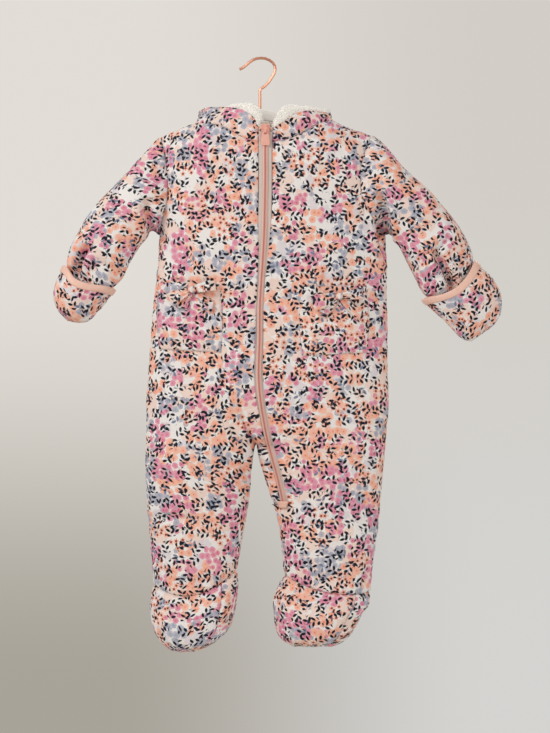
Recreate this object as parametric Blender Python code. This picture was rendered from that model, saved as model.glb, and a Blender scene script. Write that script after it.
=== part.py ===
"""A padded baby snowsuit that hangs on a coat hanger.

Frame: metres, +Z up, the front faces -Y, the wearer's right is at -X.
The origin is on the inside of the hook, where a nail or rail bears.
The tables are in millimetres. "down" is the distance below the origin.
The suit is a set of padded panels: each is a grid of points on its outer
face, thickened inwards, and drawn back a little from every seam.
"""

import math

import bmesh
import bpy
import numpy as np

MM = 0.001

# ---------------------------------------------------------------- sizes, mm
PADDED_WALL = 4.5
MITTEN_WALL = 3.6
PLUSH_WALL = 3.4
PLUSH_ROLL = 7.5
ROLL_OUT = 8.0
POCKET_WALL = 2.4
BOW_CLOTH = 1.4
BINDING_CLOTH = 1.3
BINDING_WIDTH = 7.5
TACK_HEIGHT = 1.9
TAPE_CLOTH = 1.2
CHAIN_THICK = 2.0
SEAM_BACK = 0.2
TIP_THIN = 0.7
LAYER_GAP = 0.3
LINING_GAP = 0.9

ZIP_HALF = 8.0
TAPE_SUNK = 1.2
CHAIN_HALF = 3.9
ZIP_END = 534.0

UNDERARM = 212.0
CROTCH_X = -5.0
CROTCH = 462.0
VALLEY_TOP = 392.0
SHOULDER_ROUND = 55.0
FULLNESS = 0.8
FOLD_FADE = 20.0

HOOK_WIRE = 1.75
HOOK_FOOT = 59.4
HANGER_THICK = 6.0
HANGER_ARM = 13.0
HANGER_EASE = 1.5

# ------------------------------------------------- how many cells per piece
ARM_ROWS = 7
BODY_ROWS = 8
THIGH_ROWS = 4
SHIN_ROWS = 4
SHOULDER_COLS = 3
NECK_COLS = 5
ZIP_COLS = 2
SLEEVE_ROWS = 10
MITTEN_ROWS = 7
FOOT_ROWS = 7
HOOD_ROWS = 14
POCKET_ROWS = 8
POCKET_COLS = 8
ROWS_TO_SHOULDER = 1.4
THIGH_TURN = 0.675


def table(names, *rows):
    """Columns of a table, by name."""
    return {name: np.array(column, float) for name, column in zip(names.split(), zip(*rows))}


def along(rows, column, at):
    """Reads a column as a smooth curve over the table's first column."""
    key = next(iter(rows))
    x = rows[key]
    y = rows[column]
    slope = np.gradient(y, x)
    at = np.clip(np.asarray(at, float), x[0], x[-1])
    i = np.clip(np.searchsorted(x, at, side="right") - 1, 0, len(x) - 2)
    step = x[i + 1] - x[i]
    t = (at - x[i]) / step
    return (
        y[i] * (1 + 2 * t) * (1 - t) ** 2
        + y[i + 1] * t * t * (3 - 2 * t)
        + step * (slope[i] * t * (1 - t) ** 2 - slope[i + 1] * t * t * (1 - t))
    )


# ------------------------------------------------------------ body outlines
# x of the side seam, the armhole seam and the inner leg, going down
SIDE = {
    "right": table(
        "down x",
        (60, -122), (212, -122), (241, -122.5), (301, -129.5), (349, -132.5), (409, -136),
        (469, -138), (529, -137), (589, -131), (640, -127.5),
    ),
    "left": table(
        "down x",
        (60, 152), (212, 152), (277, 152.5), (325, 153.5), (385, 154), (421, 154),
        (457, 151.5), (493, 148), (565, 141), (625, 134), (640, 132.5),
    ),
}
ARMHOLE = {
    "right": table(
        "down x", (92, -120), (112, -115), (131, -111.5), (166, -110.5), (192, -116), (212, -122),
    ),
    "left": table(
        "down x", (90, 134), (108, 127), (140, 120), (163, 121.5), (186, 131), (212, 152),
    ),
}
INSEAM = {
    "right": table(
        "down x", (462, -5), (485, -9), (529, -13), (577, -21), (611, -26.5), (640, -29),
    ),
    "left": table(
        "down x", (462, -5), (485, -0.5), (505, 6), (541, 18), (583, 25), (613, 28), (640, 30),
    ),
}
# the crease in the front between the right leg and the zip, down to the crotch
VALLEY = table("down x", (60, -26), (330, -25), (392, -22), (440, -18), (455, -10), (462, -5))
ZIP = table("down x", (60, 6.8), (250, 5.6), (409, 5), (445, 9.6), (493, 20.5), (534, 29))

# how far the front and the back stand off the middle plane
DEPTH = {
    "front": table(
        "down y", (60, 38), (150, 40), (240, 41), (330, 39), (400, 41), (462, 38), (529, 35),
        (589, 33), (640, 31),
    ),
    "back": table(
        "down y", (60, 25), (150, 26), (220, 27), (300, 32), (400, 36), (462, 36), (529, 34),
        (589, 32), (640, 31),
    ),
}
# the shoulder seam, and the neck seam from there to the zip or the middle of the back
SHOULDER = {
    "right": table("x down", (-120, 92), (-99, 83.5), (-78, 75.6)),
    "left": table("x down", (88, 71.5), (102, 78.5), (118, 84.5), (134, 90)),
}
NECK = {
    "front": table(
        "x down", (-78, 75.6), (-47, 80), (-29, 88.8), (-15.6, 96.6), (-1, 99.6), (15, 99.6),
        (33, 96.5), (50, 89), (70, 77), (88, 71.5),
    ),
    "back": table("x down", (-78, 75.6), (-30, 78), (12, 78.5), (50, 76), (88, 71.5)),
}
NECK_POINT = {"right": -78.0, "left": 88.0}
NECK_STAND = {"front": 30.0, "back": 18.0}
BACK_MIDDLE = 12.0

# the ankle seam: down at the side seam, the middle and the inseam
ANKLE = {
    ("right", "front"): (629.0, 640.0, 611.0),
    ("right", "back"): (629.0, 624.0, 611.0),
    ("left", "front"): (638.0, 637.0, 618.0),
    ("left", "back"): (638.0, 628.0, 618.0),
}

# the largest folds of the front: a line on the cloth, its depth and half width
FOLDS = table(
    "x0 d0 x1 d1 deep wide",
    (-112, 196, -121, 236, 8.5, 9),
    (-104, 176, -96, 200, 4, 9),
    (146, 168, 152, 238, 8.5, 9),
    (131, 182, 139, 216, 5, 9),
    (-132, 549, -76, 551, 5.5, 10),
    (-128, 452, -92, 474, 3.5, 10),
    (96, 470, 140, 452, 3.5, 10),
    (60, 560, 120, 552, 4.5, 10),
    (-60, 396, -34, 428, 4.5, 10),
)


def fold_depth(x, down):
    """How far the folds press the front inwards at each place."""
    total = np.zeros(np.broadcast(x, down).shape)
    for x0, d0, x1, d1, deep, wide in zip(*FOLDS.values()):
        run = (x1 - x0) ** 2 + (d1 - d0) ** 2
        t = np.clip(((x - x0) * (x1 - x0) + (down - d0) * (d1 - d0)) / run, 0, 1)
        off = (x - x0 - t * (x1 - x0)) ** 2 + (down - d0 - t * (d1 - d0)) ** 2
        total = np.maximum(total, deep * np.exp(-off / wide**2))
    return total


def bulge(x, low, high):
    """Height of a full round section between two x, 0 at its ends and 1 on top."""
    t = np.clip((x - (low + high) / 2) / ((high - low) / 2), -1, 1)
    return (1 - t * t) ** (FULLNESS / 2)


def top_edge(x, face):
    """down of the panel's top edge at x: the shoulder seam or the neck seam."""
    top = along(NECK[face], "down", x)
    top = np.where(x < NECK_POINT["right"], along(SHOULDER["right"], "down", x), top)
    return np.where(x > NECK_POINT["left"], along(SHOULDER["left"], "down", x), top)


def body_y(x, down, face):
    """The body's outer face: y at x and down, on the front or the back."""
    x, down = np.broadcast_arrays(np.asarray(x, float), np.asarray(down, float))
    sides = [along(SIDE[s], "x", down) for s in ("right", "left")]
    trunk = bulge(x, sides[0], sides[1])
    if face == "front":
        middle = np.where(down < CROTCH, along(VALLEY, "x", down), CROTCH_X)
    else:
        middle = np.full(x.shape, BACK_MIDDLE) + (CROTCH_X - BACK_MIDDLE) * np.clip(
            (down - VALLEY_TOP) / (CROTCH - VALLEY_TOP), 0, 1
        )
    inner = [
        np.where(down < CROTCH, middle, along(INSEAM[s], "x", down)) for s in ("right", "left")
    ]
    on_right = x <= (inner[0] + inner[1]) / 2
    legs = np.where(on_right, bulge(x, sides[0], inner[0]), bulge(x, inner[1], sides[1]))
    rise = np.clip((CROTCH - down) / (CROTCH - VALLEY_TOP), 0, 1)
    share = np.sqrt(1 - (1 - rise) ** 2)
    full = along(DEPTH[face], "y", down) * (share * trunk + (1 - share) * legs)
    if face == "front":
        full = full - fold_depth(x, down) * np.clip(full / FOLD_FADE, 0, 1)
    # towards the shoulder and neck seams the cloth rounds in to the seam
    top = top_edge(x, face)
    reach = np.where(
        x < BACK_MIDDLE, BACK_MIDDLE - NECK_POINT["right"], NECK_POINT["left"] - BACK_MIDDLE
    )
    beside = np.clip(np.abs(x - BACK_MIDDLE) / reach, 0, 1)
    stand = NECK_STAND[face] * np.sqrt(1 - beside**2)
    fall = np.clip((down - top) / SHOULDER_ROUND, 0, 1)
    y = stand + (full - stand) * np.sqrt(1 - (1 - fall) ** 2)
    return -y if face == "front" else y


def body_point(x, down, face):
    """A point of the body's outer face."""
    x, down = np.broadcast_arrays(np.asarray(x, float), np.asarray(down, float))
    return np.stack([x, body_y(x, down, face), -down], -1)


def body_normal(x, down, face):
    """The outward direction of the body's outer face."""
    step = 0.5
    across = body_point(x + step, down, face) - body_point(x - step, down, face)
    drop = body_point(x, down + step, face) - body_point(x, down - step, face)
    out = np.cross(drop, across) if face == "back" else np.cross(across, drop)
    out = out * np.where(out[..., 1:2] < 0, 1, -1) * (1 if face == "front" else -1)
    return out / np.linalg.norm(out, axis=-1, keepdims=True)


# ------------------------------------------------------- arms, feet and hood
# sections of a sleeve from the armhole to the wrist: its upper and lower edge
# in the front view, and how far it stands off its middle plane
SLEEVE = {
    "right": table(
        "at top_x top_down low_x low_down front back",
        (0, -120, 92, -122, 212, 24, 19),
        (1, -141, 116, -124, 211, 32, 25),
        (2, -166, 143, -130, 208, 34, 27),
        (3, -192, 169, -137.5, 218, 34, 28),
        (4, -212.5, 196, -148, 234, 33, 27),
        (5, -227, 222, -156.5, 249, 31, 26),
        (6, -231.5, 240, -164, 264, 28, 24.6),
        (7, -228.5, 255, -179.3, 277.2, 24, 21.7),
        (8, -229, 267, -190, 284, 20, 18.5),
    ),
    "left": table(
        "at top_x top_down low_x low_down front back",
        (0, 134, 90, 152, 212, 24, 19),
        (1, 152, 105, 155, 212, 32, 25),
        (2, 176.5, 133, 158.5, 215, 34, 27),
        (3, 204, 158.5, 165.5, 224.5, 34, 28),
        (4, 227, 185, 175, 243.5, 33, 27),
        (5, 244, 211, 186, 265, 31, 26),
        (6, 254.5, 234, 196.5, 283, 28, 24),
        (7, 255, 251.5, 206, 287.5, 24, 21.3),
        (8, 261.5, 264, 217, 296.5, 20, 18.5),
    ),
}
MITTEN = {
    "right": table(
        "at out_x out_down in_x in_down front back",
        (0, -239, 254.5, -175, 279.5, 30, 25.5),
        (1, -245.5, 269, -182, 288, 29.5, 25.5),
        (2, -248.5, 281, -190, 298.5, 27, 24),
        (3, -246.5, 294, -199, 309, 23, 22),
        (4, -240, 305.5, -207.5, 314.5, 15.5, 17),
        (5, -231.5, 314.5, -217, 317, 0, 0),
    ),
    "left": table(
        "at out_x out_down in_x in_down front back",
        (0, 263, 246, 198, 293, 30, 25.5),
        (1, 277, 260.5, 212, 306, 29.5, 25.5),
        (2, 287, 277, 225.5, 319, 27, 24),
        (3, 290, 293, 235, 330, 23, 22),
        (4, 286, 311, 246, 338, 15.5, 17),
        (5, 277, 323, 254, 339, 0, 0),
    ),
}
# a foot from the ankle seam to the toe seam, seen from the front
FOOT = {
    "right": table(
        "at a_x a_down b_x b_down front back mid",
        (0, -128, 629, -26.5, 611, 31, 31, 0),
        (1, -131.5, 649, -26, 635, 39, 33, -1),
        (2, -130, 669.5, -30, 661, 44, 31, -3),
        (3, -125, 687.5, -37, 683, 42, 26, -6),
        (4, -115, 701, -54, 698.5, 31, 17, -10),
        (5, -101, 710.5, -78, 711, 0, 0, -13),
    ),
    "left": table(
        "at a_x a_down b_x b_down front back mid",
        (0, 28.5, 618, 132.5, 638, 31, 31, 0),
        (1, 17, 640, 131, 654, 39, 33, -1),
        (2, 15.5, 661, 122.5, 664, 44, 31, -3),
        (3, 18.5, 681.5, 114, 680, 42, 26, -6),
        (4, 26.5, 696, 103, 694, 31, 17, -10),
        (5, 43, 704.5, 84, 704.5, 0, 0, -13),
    ),
}
SLEEVE_LAST = 8
ARMHOLE_BLEND = 2.2
TIP_LAST = 5
MITTEN_COLS = 10
VAMP_SHARE = {"right": 0.72, "left": 0.74}

# the edge of the hood, from the chin (0) over the shoulder (0.5) to the middle
# of the back (1): where it is, how deep the cloth sags behind, how high it arches
HOOD = {
    "right": table(
        "at x y down sag lift",
        (0, -2.5, -31, 84, 0, 0),
        (0.15, -7, -29, 72.6, 0, 0),
        (0.3, -19.6, -23, 62.8, 0, 0),
        (0.42, -36, -13, 57.6, 0, 1),
        (0.53, -65, 10, 56, 0, 2),
        (0.62, -76, 40, 60, 4, 4),
        (0.73, -70, 60, 66, 45, 8),
        (0.86, -36, 64, 70, 90, 8),
        (1, 12, 65, 71, 105, 8),
    ),
    "left": table(
        "at x y down sag lift",
        (0, 16, -31, 84.5, 0, 0),
        (0.15, 27, -29, 77, 0, 0),
        (0.3, 42, -23, 67, 0, 0),
        (0.42, 58, -13, 61.5, 0, 1),
        (0.53, 78, 9, 61.5, 0, 1),
        (0.62, 88, 38, 63.5, 4, 4),
        (0.73, 82, 60, 67, 45, 7),
        (0.86, 56, 64, 70, 90, 8),
        (1, 12, 65, 71, 105, 8),
    ),
}
# how the cloth turns over: in front early on its way up, at the back later
HOOD_NEAR_Y = 29.5
HOOD_SAG_FULL = 60.0
FRONT_TURN = 0.22
BACK_TURN_FROM = 0.4
BACK_TURN = 0.36
SAG_FROM = 0.14
SAG_SHAPE = 0.75


# ------------------------------------------------------------- cloth sheets
SHEETS = []


class Sheet:
    """One cut piece: grids of points on its outer face, joined where they meet."""

    def __init__(self, name, look, wall, inside=None, flip=False):
        self.name = name
        self.look = look
        self.wall = wall
        self.inside = inside
        self.flip = flip
        self.points = []
        self.walls = []
        self.faces = []
        self.found = {}
        SHEETS.append(self)

    def corner(self, point, wall):
        """The number of a point, the same for points in one place."""
        key = tuple(np.round(point, 2))
        if key not in self.found:
            self.found[key] = len(self.points)
            self.points.append(np.array(point, float))
            self.walls.append(wall)
        return self.found[key]

    def grid(self, rows, walls=None, first=None):
        """Adds a quad net over rows of points, from each column's first row on."""
        numbers = [
            [
                self.corner(point, self.wall if walls is None else walls[i][j])
                for j, point in enumerate(row)
            ]
            for i, row in enumerate(rows)
        ]
        for i, (upper, lower) in enumerate(zip(numbers, numbers[1:])):
            for j in range(len(upper) - 1):
                if first is not None and i < max(first[j], first[j + 1]):
                    continue
                self.faces.append([upper[j], lower[j], lower[j + 1], upper[j + 1]])

    def face_normals(self):
        """Sets the outward direction at every point of the sheet."""
        points = np.array(self.points)
        total = np.zeros_like(points)
        for ring in self.faces:
            corners = points[ring]
            area = np.zeros(3)
            for a, b in zip(corners, np.roll(corners, -1, axis=0)):
                area += np.cross(a, b) / 2
            total[ring] += area
        if self.inside is not None:
            side = np.sum(total * (points - np.array(self.inside, float)))
            self.flip = side < 0
        if self.flip:
            total = -total
        self.normals = total / np.maximum(np.linalg.norm(total, axis=1, keepdims=True), 1e-9)


def share_normals(sheets):
    """Where sewn pieces meet, their edges are cut on one common mitre."""
    together = {}
    for sheet in sheets:
        sheet.face_normals()
        for i, point in enumerate(sheet.points):
            together.setdefault(tuple(np.round(point, 1)), []).append((sheet, i))
    for group in together.values():
        if len(group) > 1:
            total = sum(sheet.normals[i] for sheet, i in group)
            total = total / max(np.linalg.norm(total), 1e-9)
            for sheet, i in group:
                sheet.normals[i] = total


def build_sheet(sheet):
    """Thickens a sheet inwards, draws it back from its seams and makes its object."""
    used = sorted({n for ring in sheet.faces for n in ring})
    renumber = {old: new for new, old in enumerate(used)}
    sheet.faces = [[renumber[n] for n in ring] for ring in sheet.faces]
    sheet.points = [sheet.points[n] for n in used]
    sheet.walls = [sheet.walls[n] for n in used]
    sheet.normals = sheet.normals[used]
    points = np.array(sheet.points)
    counts = {}
    for ring in sheet.faces:
        for a, b in zip(ring, ring[1:] + ring[:1]):
            counts[(a, b)] = counts.get((a, b), 0) + 1
    rim = [edge for edge in counts if (edge[1], edge[0]) not in counts]
    centre = {}
    for ring in sheet.faces:
        middle = points[ring].mean(axis=0)
        for n in ring:
            centre.setdefault(n, []).append(middle)
    shift = np.zeros_like(points)
    for n in {n for edge in rim for n in edge}:
        inward = np.mean(centre[n], axis=0) - points[n]
        inward -= sheet.normals[n] * np.dot(inward, sheet.normals[n])
        shift[n] = inward / np.linalg.norm(inward) * SEAM_BACK
    outer = points + shift
    inner = outer - sheet.normals * np.array(sheet.walls)[:, None]
    total = len(points)
    faces = []
    for ring in sheet.faces:
        a, b, c, d = ring[::-1] if sheet.flip else ring
        if np.linalg.norm(points[a] - points[c]) > np.linalg.norm(points[b] - points[d]):
            a, b, c, d = b, c, d, a
        for half in ([a, b, c], [a, c, d]):
            faces.append(half)
            faces.append([n + total for n in half[::-1]])
    for a, b in rim:
        a, b = (b, a) if sheet.flip else (a, b)
        faces.append([b, a, a + total, b + total])
    return make_object(sheet.name, np.concatenate([outer, inner]), faces, sheet.look)


# ------------------------------------------------------------------ scene
for old in list(bpy.data.objects):
    bpy.data.objects.remove(old, do_unlink=True)
SUIT = bpy.data.collections.new("baby snowsuit on a hanger")
bpy.context.scene.collection.children.link(SUIT)

LOOKS = {
    "floral": ((0.85, 0.72, 0.70), 0.75, 0.0),
    "plush": ((0.86, 0.82, 0.77), 0.95, 0.0),
    "binding": ((0.90, 0.58, 0.46), 0.7, 0.0),
    "tape": ((0.62, 0.57, 0.51), 0.8, 0.0),
    "chain": ((0.85, 0.46, 0.36), 0.45, 0.0),
    "pull": ((0.93, 0.45, 0.34), 0.5, 0.0),
    "velvet": ((0.80, 0.76, 0.68), 0.9, 0.0),
    "rose_gold": ((0.75, 0.38, 0.27), 0.25, 1.0),
}


def look(name):
    """A plain material of the named look."""
    if name in bpy.data.materials:
        return bpy.data.materials[name]
    colour, rough, metal = LOOKS[name]
    material = bpy.data.materials.new(name)
    material.use_nodes = True
    shader = material.node_tree.nodes["Principled BSDF"]
    shader.inputs["Base Color"].default_value = (*colour, 1)
    shader.inputs["Roughness"].default_value = rough
    shader.inputs["Metallic"].default_value = metal
    return material


def place(name, mesh, material):
    """Links a mesh as a named object."""
    obj = bpy.data.objects.new(name, mesh)
    mesh.materials.append(look(material))
    SUIT.objects.link(obj)
    return obj


def make_object(name, points, faces, material):
    """A mesh object from points in millimetres, its flat quads split in triangles."""
    mesh = bpy.data.meshes.new(name)
    mesh.from_pydata((np.array(points) * MM).tolist(), [], faces)
    work = bmesh.new()
    work.from_mesh(mesh)
    bmesh.ops.triangulate(work, faces=work.faces[:])
    if work.calc_volume(signed=True) < 0:
        bmesh.ops.reverse_faces(work, faces=work.faces[:])
    work.to_mesh(mesh)
    work.free()
    mesh.shade_smooth()
    return place(name, mesh, material)


# --------------------------------------------------------------- body panels
def spread(count, end_angle):
    """Fractions from 0 to 1, set closer where the section turns its edge."""
    turn = np.linspace(0, 1, count + 1) * end_angle
    return (1 - np.cos(turn)) / (1 - math.cos(end_angle))


def valley_turn(down):
    """How far round a leg's section a row reaches above and at the crotch."""
    t = float(np.clip((down - VALLEY_TOP) / (CROTCH - VALLEY_TOP), 0, 1))
    return math.pi / 2 * (1 + t)


def middle_x(side, face, down):
    """x of the inner edge of a panel's main columns."""
    if down >= CROTCH and not (side == "left" and face == "front"):
        return float(along(INSEAM[side], "x", down))
    if face == "back":
        t = float(np.clip((down - VALLEY_TOP) / (CROTCH - VALLEY_TOP), 0, 1))
        return BACK_MIDDLE + (CROTCH_X - BACK_MIDDLE) * t
    if side == "right":
        return float(along(VALLEY, "x", down))
    return float(along(ZIP, "x", down)) + ZIP_HALF


def trunk_rows(side, face, cols):
    """x and down of the rows from the shoulder to the crotch, side seam first."""
    edge = float(ARMHOLE[side]["x"][0])
    middle = middle_x(side, face, 90)
    top_x = np.concatenate(
        [
            np.linspace(edge, NECK_POINT[side], SHOULDER_COLS + 1)[:-1],
            np.linspace(NECK_POINT[side], middle, cols - SHOULDER_COLS + 1),
        ]
    )
    top_down = top_edge(top_x, face)
    rows = []
    for i in range(ARM_ROWS + 1):
        t = (i / ARM_ROWS) ** ROWS_TO_SHOULDER
        down = top_down + (UNDERARM - top_down) * t
        outer = float(along(ARMHOLE[side], "x", down[0]))
        share = (top_x - edge) / (middle - edge)
        share = share + (spread(cols, math.pi / 2) - share) * t
        inner = middle + (middle_x(side, face, down[-1]) - middle) * t
        rows.append((outer + (inner - outer) * share, down))
    below = np.concatenate(
        [
            np.linspace(UNDERARM, VALLEY_TOP, BODY_ROWS - 2)[1:],
            np.linspace(VALLEY_TOP, CROTCH, 4)[1:],
        ]
    )
    for down in below:
        turn = math.pi / 2 if (side, face) == ("left", "front") else valley_turn(down)
        outer = float(along(SIDE[side], "x", down))
        share = spread(cols, turn)
        rows.append((outer + (middle_x(side, face, down) - outer) * share, np.full(cols + 1, down)))
    return rows


def leg_rows(side, face, cols, start):
    """x and down of the rows of a leg, from a level down to the ankle seam."""
    at_side, at_middle, at_inseam = ANKLE[side, face]
    levels = np.linspace(start, ZIP_END, THIGH_ROWS + 1)[1:] if start < ZIP_END else []
    rows = []
    share = spread(cols, math.pi)
    for down in levels:
        low, high = (float(along(t[side], "x", down)) for t in (SIDE, INSEAM))
        rows.append((low + (high - low) * share, np.full(cols + 1, down)))
    ankle = at_side + (at_inseam - at_side) * share
    ankle = ankle + (at_middle - (at_side + at_inseam) / 2) * 4 * share * (1 - share)
    for i in range(1, SHIN_ROWS + 1):
        down = ZIP_END + (ankle - ZIP_END) * i / SHIN_ROWS
        low, high = (along(t[side], "x", down) for t in (SIDE, INSEAM))
        rows.append((low + (high - low) * share, down))
    return rows


def points_of(rows, face):
    """Rows of x and down as points of the body."""
    return [body_point(x, down, face) for x, down in rows]


EDGES = {}
COLS = SHOULDER_COLS + NECK_COLS
INSIDE_TRUNK = (12, 0, -320)

front_right = Sheet("front_right", "floral", PADDED_WALL, inside=INSIDE_TRUNK)
rows = trunk_rows("right", "front", COLS)
beside_zip = []
for x, down in rows:
    zip_edge = along(ZIP, "x", down[-1]) - ZIP_HALF
    if not beside_zip:
        extra_x = np.linspace(x[-1], zip_edge, ZIP_COLS + 1)[1:]
        extra_down = top_edge(extra_x, "front")
        first = (extra_x, extra_down)
    extra_x = x[-1] + (zip_edge - x[-1]) * spread(ZIP_COLS, math.pi / 2)[1:]
    t = np.clip((down[-1] - rows[0][1][-1]) / (UNDERARM - rows[0][1][-1]), 0, 1)
    extra_down = down[-1] + (first[1] - rows[0][1][-1]) * (1 - t)
    if not beside_zip:
        extra_x = first[0]
    beside_zip.append((np.concatenate([x, extra_x]), np.concatenate([down, extra_down])))
trunk = points_of(beside_zip, "front")
front_right.grid(trunk)
leg = points_of([rows[-1]] + leg_rows("right", "front", COLS, CROTCH), "front")
leg[0] = trunk[-1][: COLS + 1]
front_right.grid(leg)
strip = [trunk[-1][COLS:]]
for down in np.linspace(CROTCH, ZIP_END, THIGH_ROWS + 1)[1:]:
    low = float(along(INSEAM["left"], "x", down))
    high = float(along(ZIP, "x", down)) - ZIP_HALF
    x = low + (high - low) * spread(ZIP_COLS, math.pi / 2)
    strip.append(body_point(x, np.full(ZIP_COLS + 1, down), "front"))
front_right.grid(strip)
EDGES["right", "front"] = (trunk, leg[-1])

front_left = Sheet("front_left", "floral", PADDED_WALL, inside=INSIDE_TRUNK)
rows = trunk_rows("left", "front", COLS)
for down in np.linspace(CROTCH, ZIP_END, THIGH_ROWS + 1)[1:]:
    outer = float(along(SIDE["left"], "x", down))
    share = spread(COLS, math.pi * THIGH_TURN)
    rows.append((outer + (middle_x("left", "front", down) - outer) * share, np.full(COLS + 1, down)))
trunk = points_of(rows, "front")
front_left.grid(trunk)
wide = COLS + ZIP_COLS + 1
zip_right = float(along(ZIP, "x", ZIP_END)) + ZIP_HALF
zip_left = zip_right - 2 * ZIP_HALF
low = float(along(INSEAM["left"], "x", ZIP_END))
below_strip = low + (zip_left - low) * spread(ZIP_COLS, math.pi / 2)[::-1]
below = body_point(below_strip, np.full(ZIP_COLS + 1, ZIP_END), "front")
leg = points_of(leg_rows("left", "front", wide, ZIP_END), "front")
leg.insert(0, np.concatenate([trunk[-1], below]))
front_left.grid(leg)
EDGES["left", "front"] = (trunk, leg[-1])

for side in ("right", "left"):
    sheet = Sheet("back_" + side, "floral", PADDED_WALL, inside=INSIDE_TRUNK)
    cols = COLS if side == "right" else COLS + ZIP_COLS + 1
    rows = trunk_rows(side, "back", cols) + leg_rows(side, "back", cols, CROTCH)
    points = points_of(rows, "back")
    sheet.grid(points)
    EDGES[side, "back"] = (points, points[-1])


# ------------------------------------------------- sleeves, mittens and feet
def section(low, high, turn, stand):
    """Points of a full round section from one edge to the other."""
    turn = np.asarray(turn, float)[:, None]
    middle = (np.array(low) + np.array(high)) / 2
    half = (np.array(low) - np.array(high)) / 2
    out = np.abs(np.sin(turn)) ** FULLNESS * stand
    return middle + half * np.cos(turn) + out * np.array([0, 1, 0])


def tip_walls(wall, rows):
    """The wall at each point of a piece that closes at a tip, thinner in the last row."""
    count = len(rows[0])
    return [[wall] * count] * (len(rows) - 2) + [[wall * TIP_THIN] * count] * 2


for side in ("right", "left"):
    front = np.array([row[0] for row in EDGES[side, "front"][0][: ARM_ROWS + 1]])
    back = np.array([row[0] for row in EDGES[side, "back"][0][: ARM_ROWS + 1]])
    armhole = np.concatenate([front[::-1], back[1:]])
    reach = (front[:, 2] - front[0, 2]) / (front[-1, 2] - front[0, 2])
    turn = np.arccos(1 - 2 * reach)
    data = SLEEVE[side]
    rings = []
    for at in np.linspace(0, SLEEVE_LAST, SLEEVE_ROWS + 1):
        top_x, top_down, low_x, low_down, stand_front, stand_back = (
            float(along(data, c, at)) for c in list(data)[1:]
        )
        top, low = (top_x, 0, -top_down), (low_x, 0, -low_down)
        ring = np.concatenate(
            [
                section(top, low, turn, -stand_front)[::-1],
                section(top, low, turn, stand_back)[1:],
            ]
        )
        if not rings:
            away = armhole - ring
        rings.append(ring + away * max(0, 1 - at / ARMHOLE_BLEND) ** 2)
    sheet = Sheet("sleeve_" + side, "floral", PADDED_WALL, inside=rings[5].mean(axis=0))
    sheet.grid(rings)

    data = MITTEN[side]
    turn = np.linspace(0, math.pi, MITTEN_COLS + 1)
    for face, sign in (("front", -1), ("back", 1)):
        rings = []
        for t in np.linspace(0, 1, MITTEN_ROWS + 1):
            at = TIP_LAST * math.sin(t * math.pi / 2)
            out_x, out_down, in_x, in_down, stand_front, stand_back = (
                float(along(data, c, at)) for c in list(data)[1:]
            )
            stand = stand_front if face == "front" else stand_back
            rings.append(
                section((out_x, 0, -out_down), (in_x, 0, -in_down), turn, sign * max(stand, 0))
            )
        name = "mitten_" + face + "_" + side
        sheet = Sheet(name, "floral", MITTEN_WALL, inside=rings[3].mean(axis=0) * (1, 0, 1))
        sheet.grid(rings, tip_walls(MITTEN_WALL, rings))
        EDGES[side, "mitten_" + face] = rings

    # foot: the top piece, and the side piece that runs round the heel
    front, back = EDGES[side, "front"][1], EDGES[side, "back"][1]
    turn_front = np.linspace(0, math.pi, len(front))
    turn_back = np.linspace(0, math.pi, len(back))
    if side == "left":
        front, back = front[::-1], back[::-1]
    data = FOOT[side]
    rings = []
    for t in np.linspace(0, 1, FOOT_ROWS + 1):
        at = TIP_LAST * math.sin(t * math.pi / 2)
        a_x, a_down, b_x, b_down, stand_front, stand_back, mid = (
            float(along(data, c, at)) for c in list(data)[1:]
        )
        a, b = (a_x, mid, -a_down), (b_x, mid, -b_down)
        ring = [
            section(a, b, turn_front, -max(stand_front, 0)),
            section(a, b, turn_back, max(stand_back, 0)),
        ]
        if not rings:
            away = [front - ring[0], back - ring[1]]
        fade = (1 - t) ** 2
        rings.append([ring[0] + away[0] * fade, ring[1] + away[1] * fade])
    split = round(VAMP_SHARE[side] * (len(front) - 1))
    centre = np.concatenate(rings[3]).mean(axis=0)
    top_piece = Sheet("foot_top_" + side, "floral", PADDED_WALL, inside=centre)
    rows = [ring[0][: split + 1] for ring in rings]
    top_piece.grid(rows, tip_walls(PADDED_WALL, rows))
    side_piece = Sheet("foot_side_" + side, "floral", PADDED_WALL, inside=centre)
    rows = [np.concatenate([ring[0][split:], ring[1][-2::-1]]) for ring in rings]
    side_piece.grid(rows, tip_walls(PADDED_WALL, rows))


# ---------------------------------------------------------------------- hood
def smooth_step(t):
    """Runs from 0 to 1 without a corner."""
    t = np.clip(t, 0, 1)
    return t * t * (3 - 2 * t)


def hood_curve(side, at, neck, v):
    """The hood's outer face over one place of the neck seam, from the seam (0) to its edge (1)."""
    data = HOOD[side]
    x, y, down, sag, lift = (float(along(data, c, at)) for c in list(data)[1:])
    rim = np.array([x, y, -down])
    behind = min(sag / HOOD_SAG_FULL, 1)
    near = np.clip((HOOD_NEAR_Y - neck[1]) / max(rim[1] - neck[1], 1), 0, 1)
    at_back = smooth_step((v - BACK_TURN_FROM) / BACK_TURN)
    folded = near * smooth_step(v / FRONT_TURN) + (1 - near) * at_back
    run = v + (folded - v) * behind
    arch = np.sin(np.pi * np.clip(v / (0.5 + 0.5 * (1 - behind)), 0, 1)) * lift
    below = np.clip((v - SAG_FROM) / (1 - SAG_FROM), 0, 1)
    drop = sag * np.sin(np.pi * below) ** SAG_SHAPE
    point = neck + (rim - neck) * run[:, None]
    point[:, 2] += arch - drop
    return point


def hood_stations(side):
    """The neck seam's points from the zip round to the middle of the back, with their places."""
    front = EDGES[side, "front"][0][0][SHOULDER_COLS:][::-1]
    back = EDGES[side, "back"][0][0][SHOULDER_COLS:]
    neck = np.concatenate([front, back[1:]])
    at = np.concatenate(
        [np.linspace(0, 0.5, len(front)), np.linspace(0.5, 1, len(back))[1:]]
    )
    return neck, at


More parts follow.
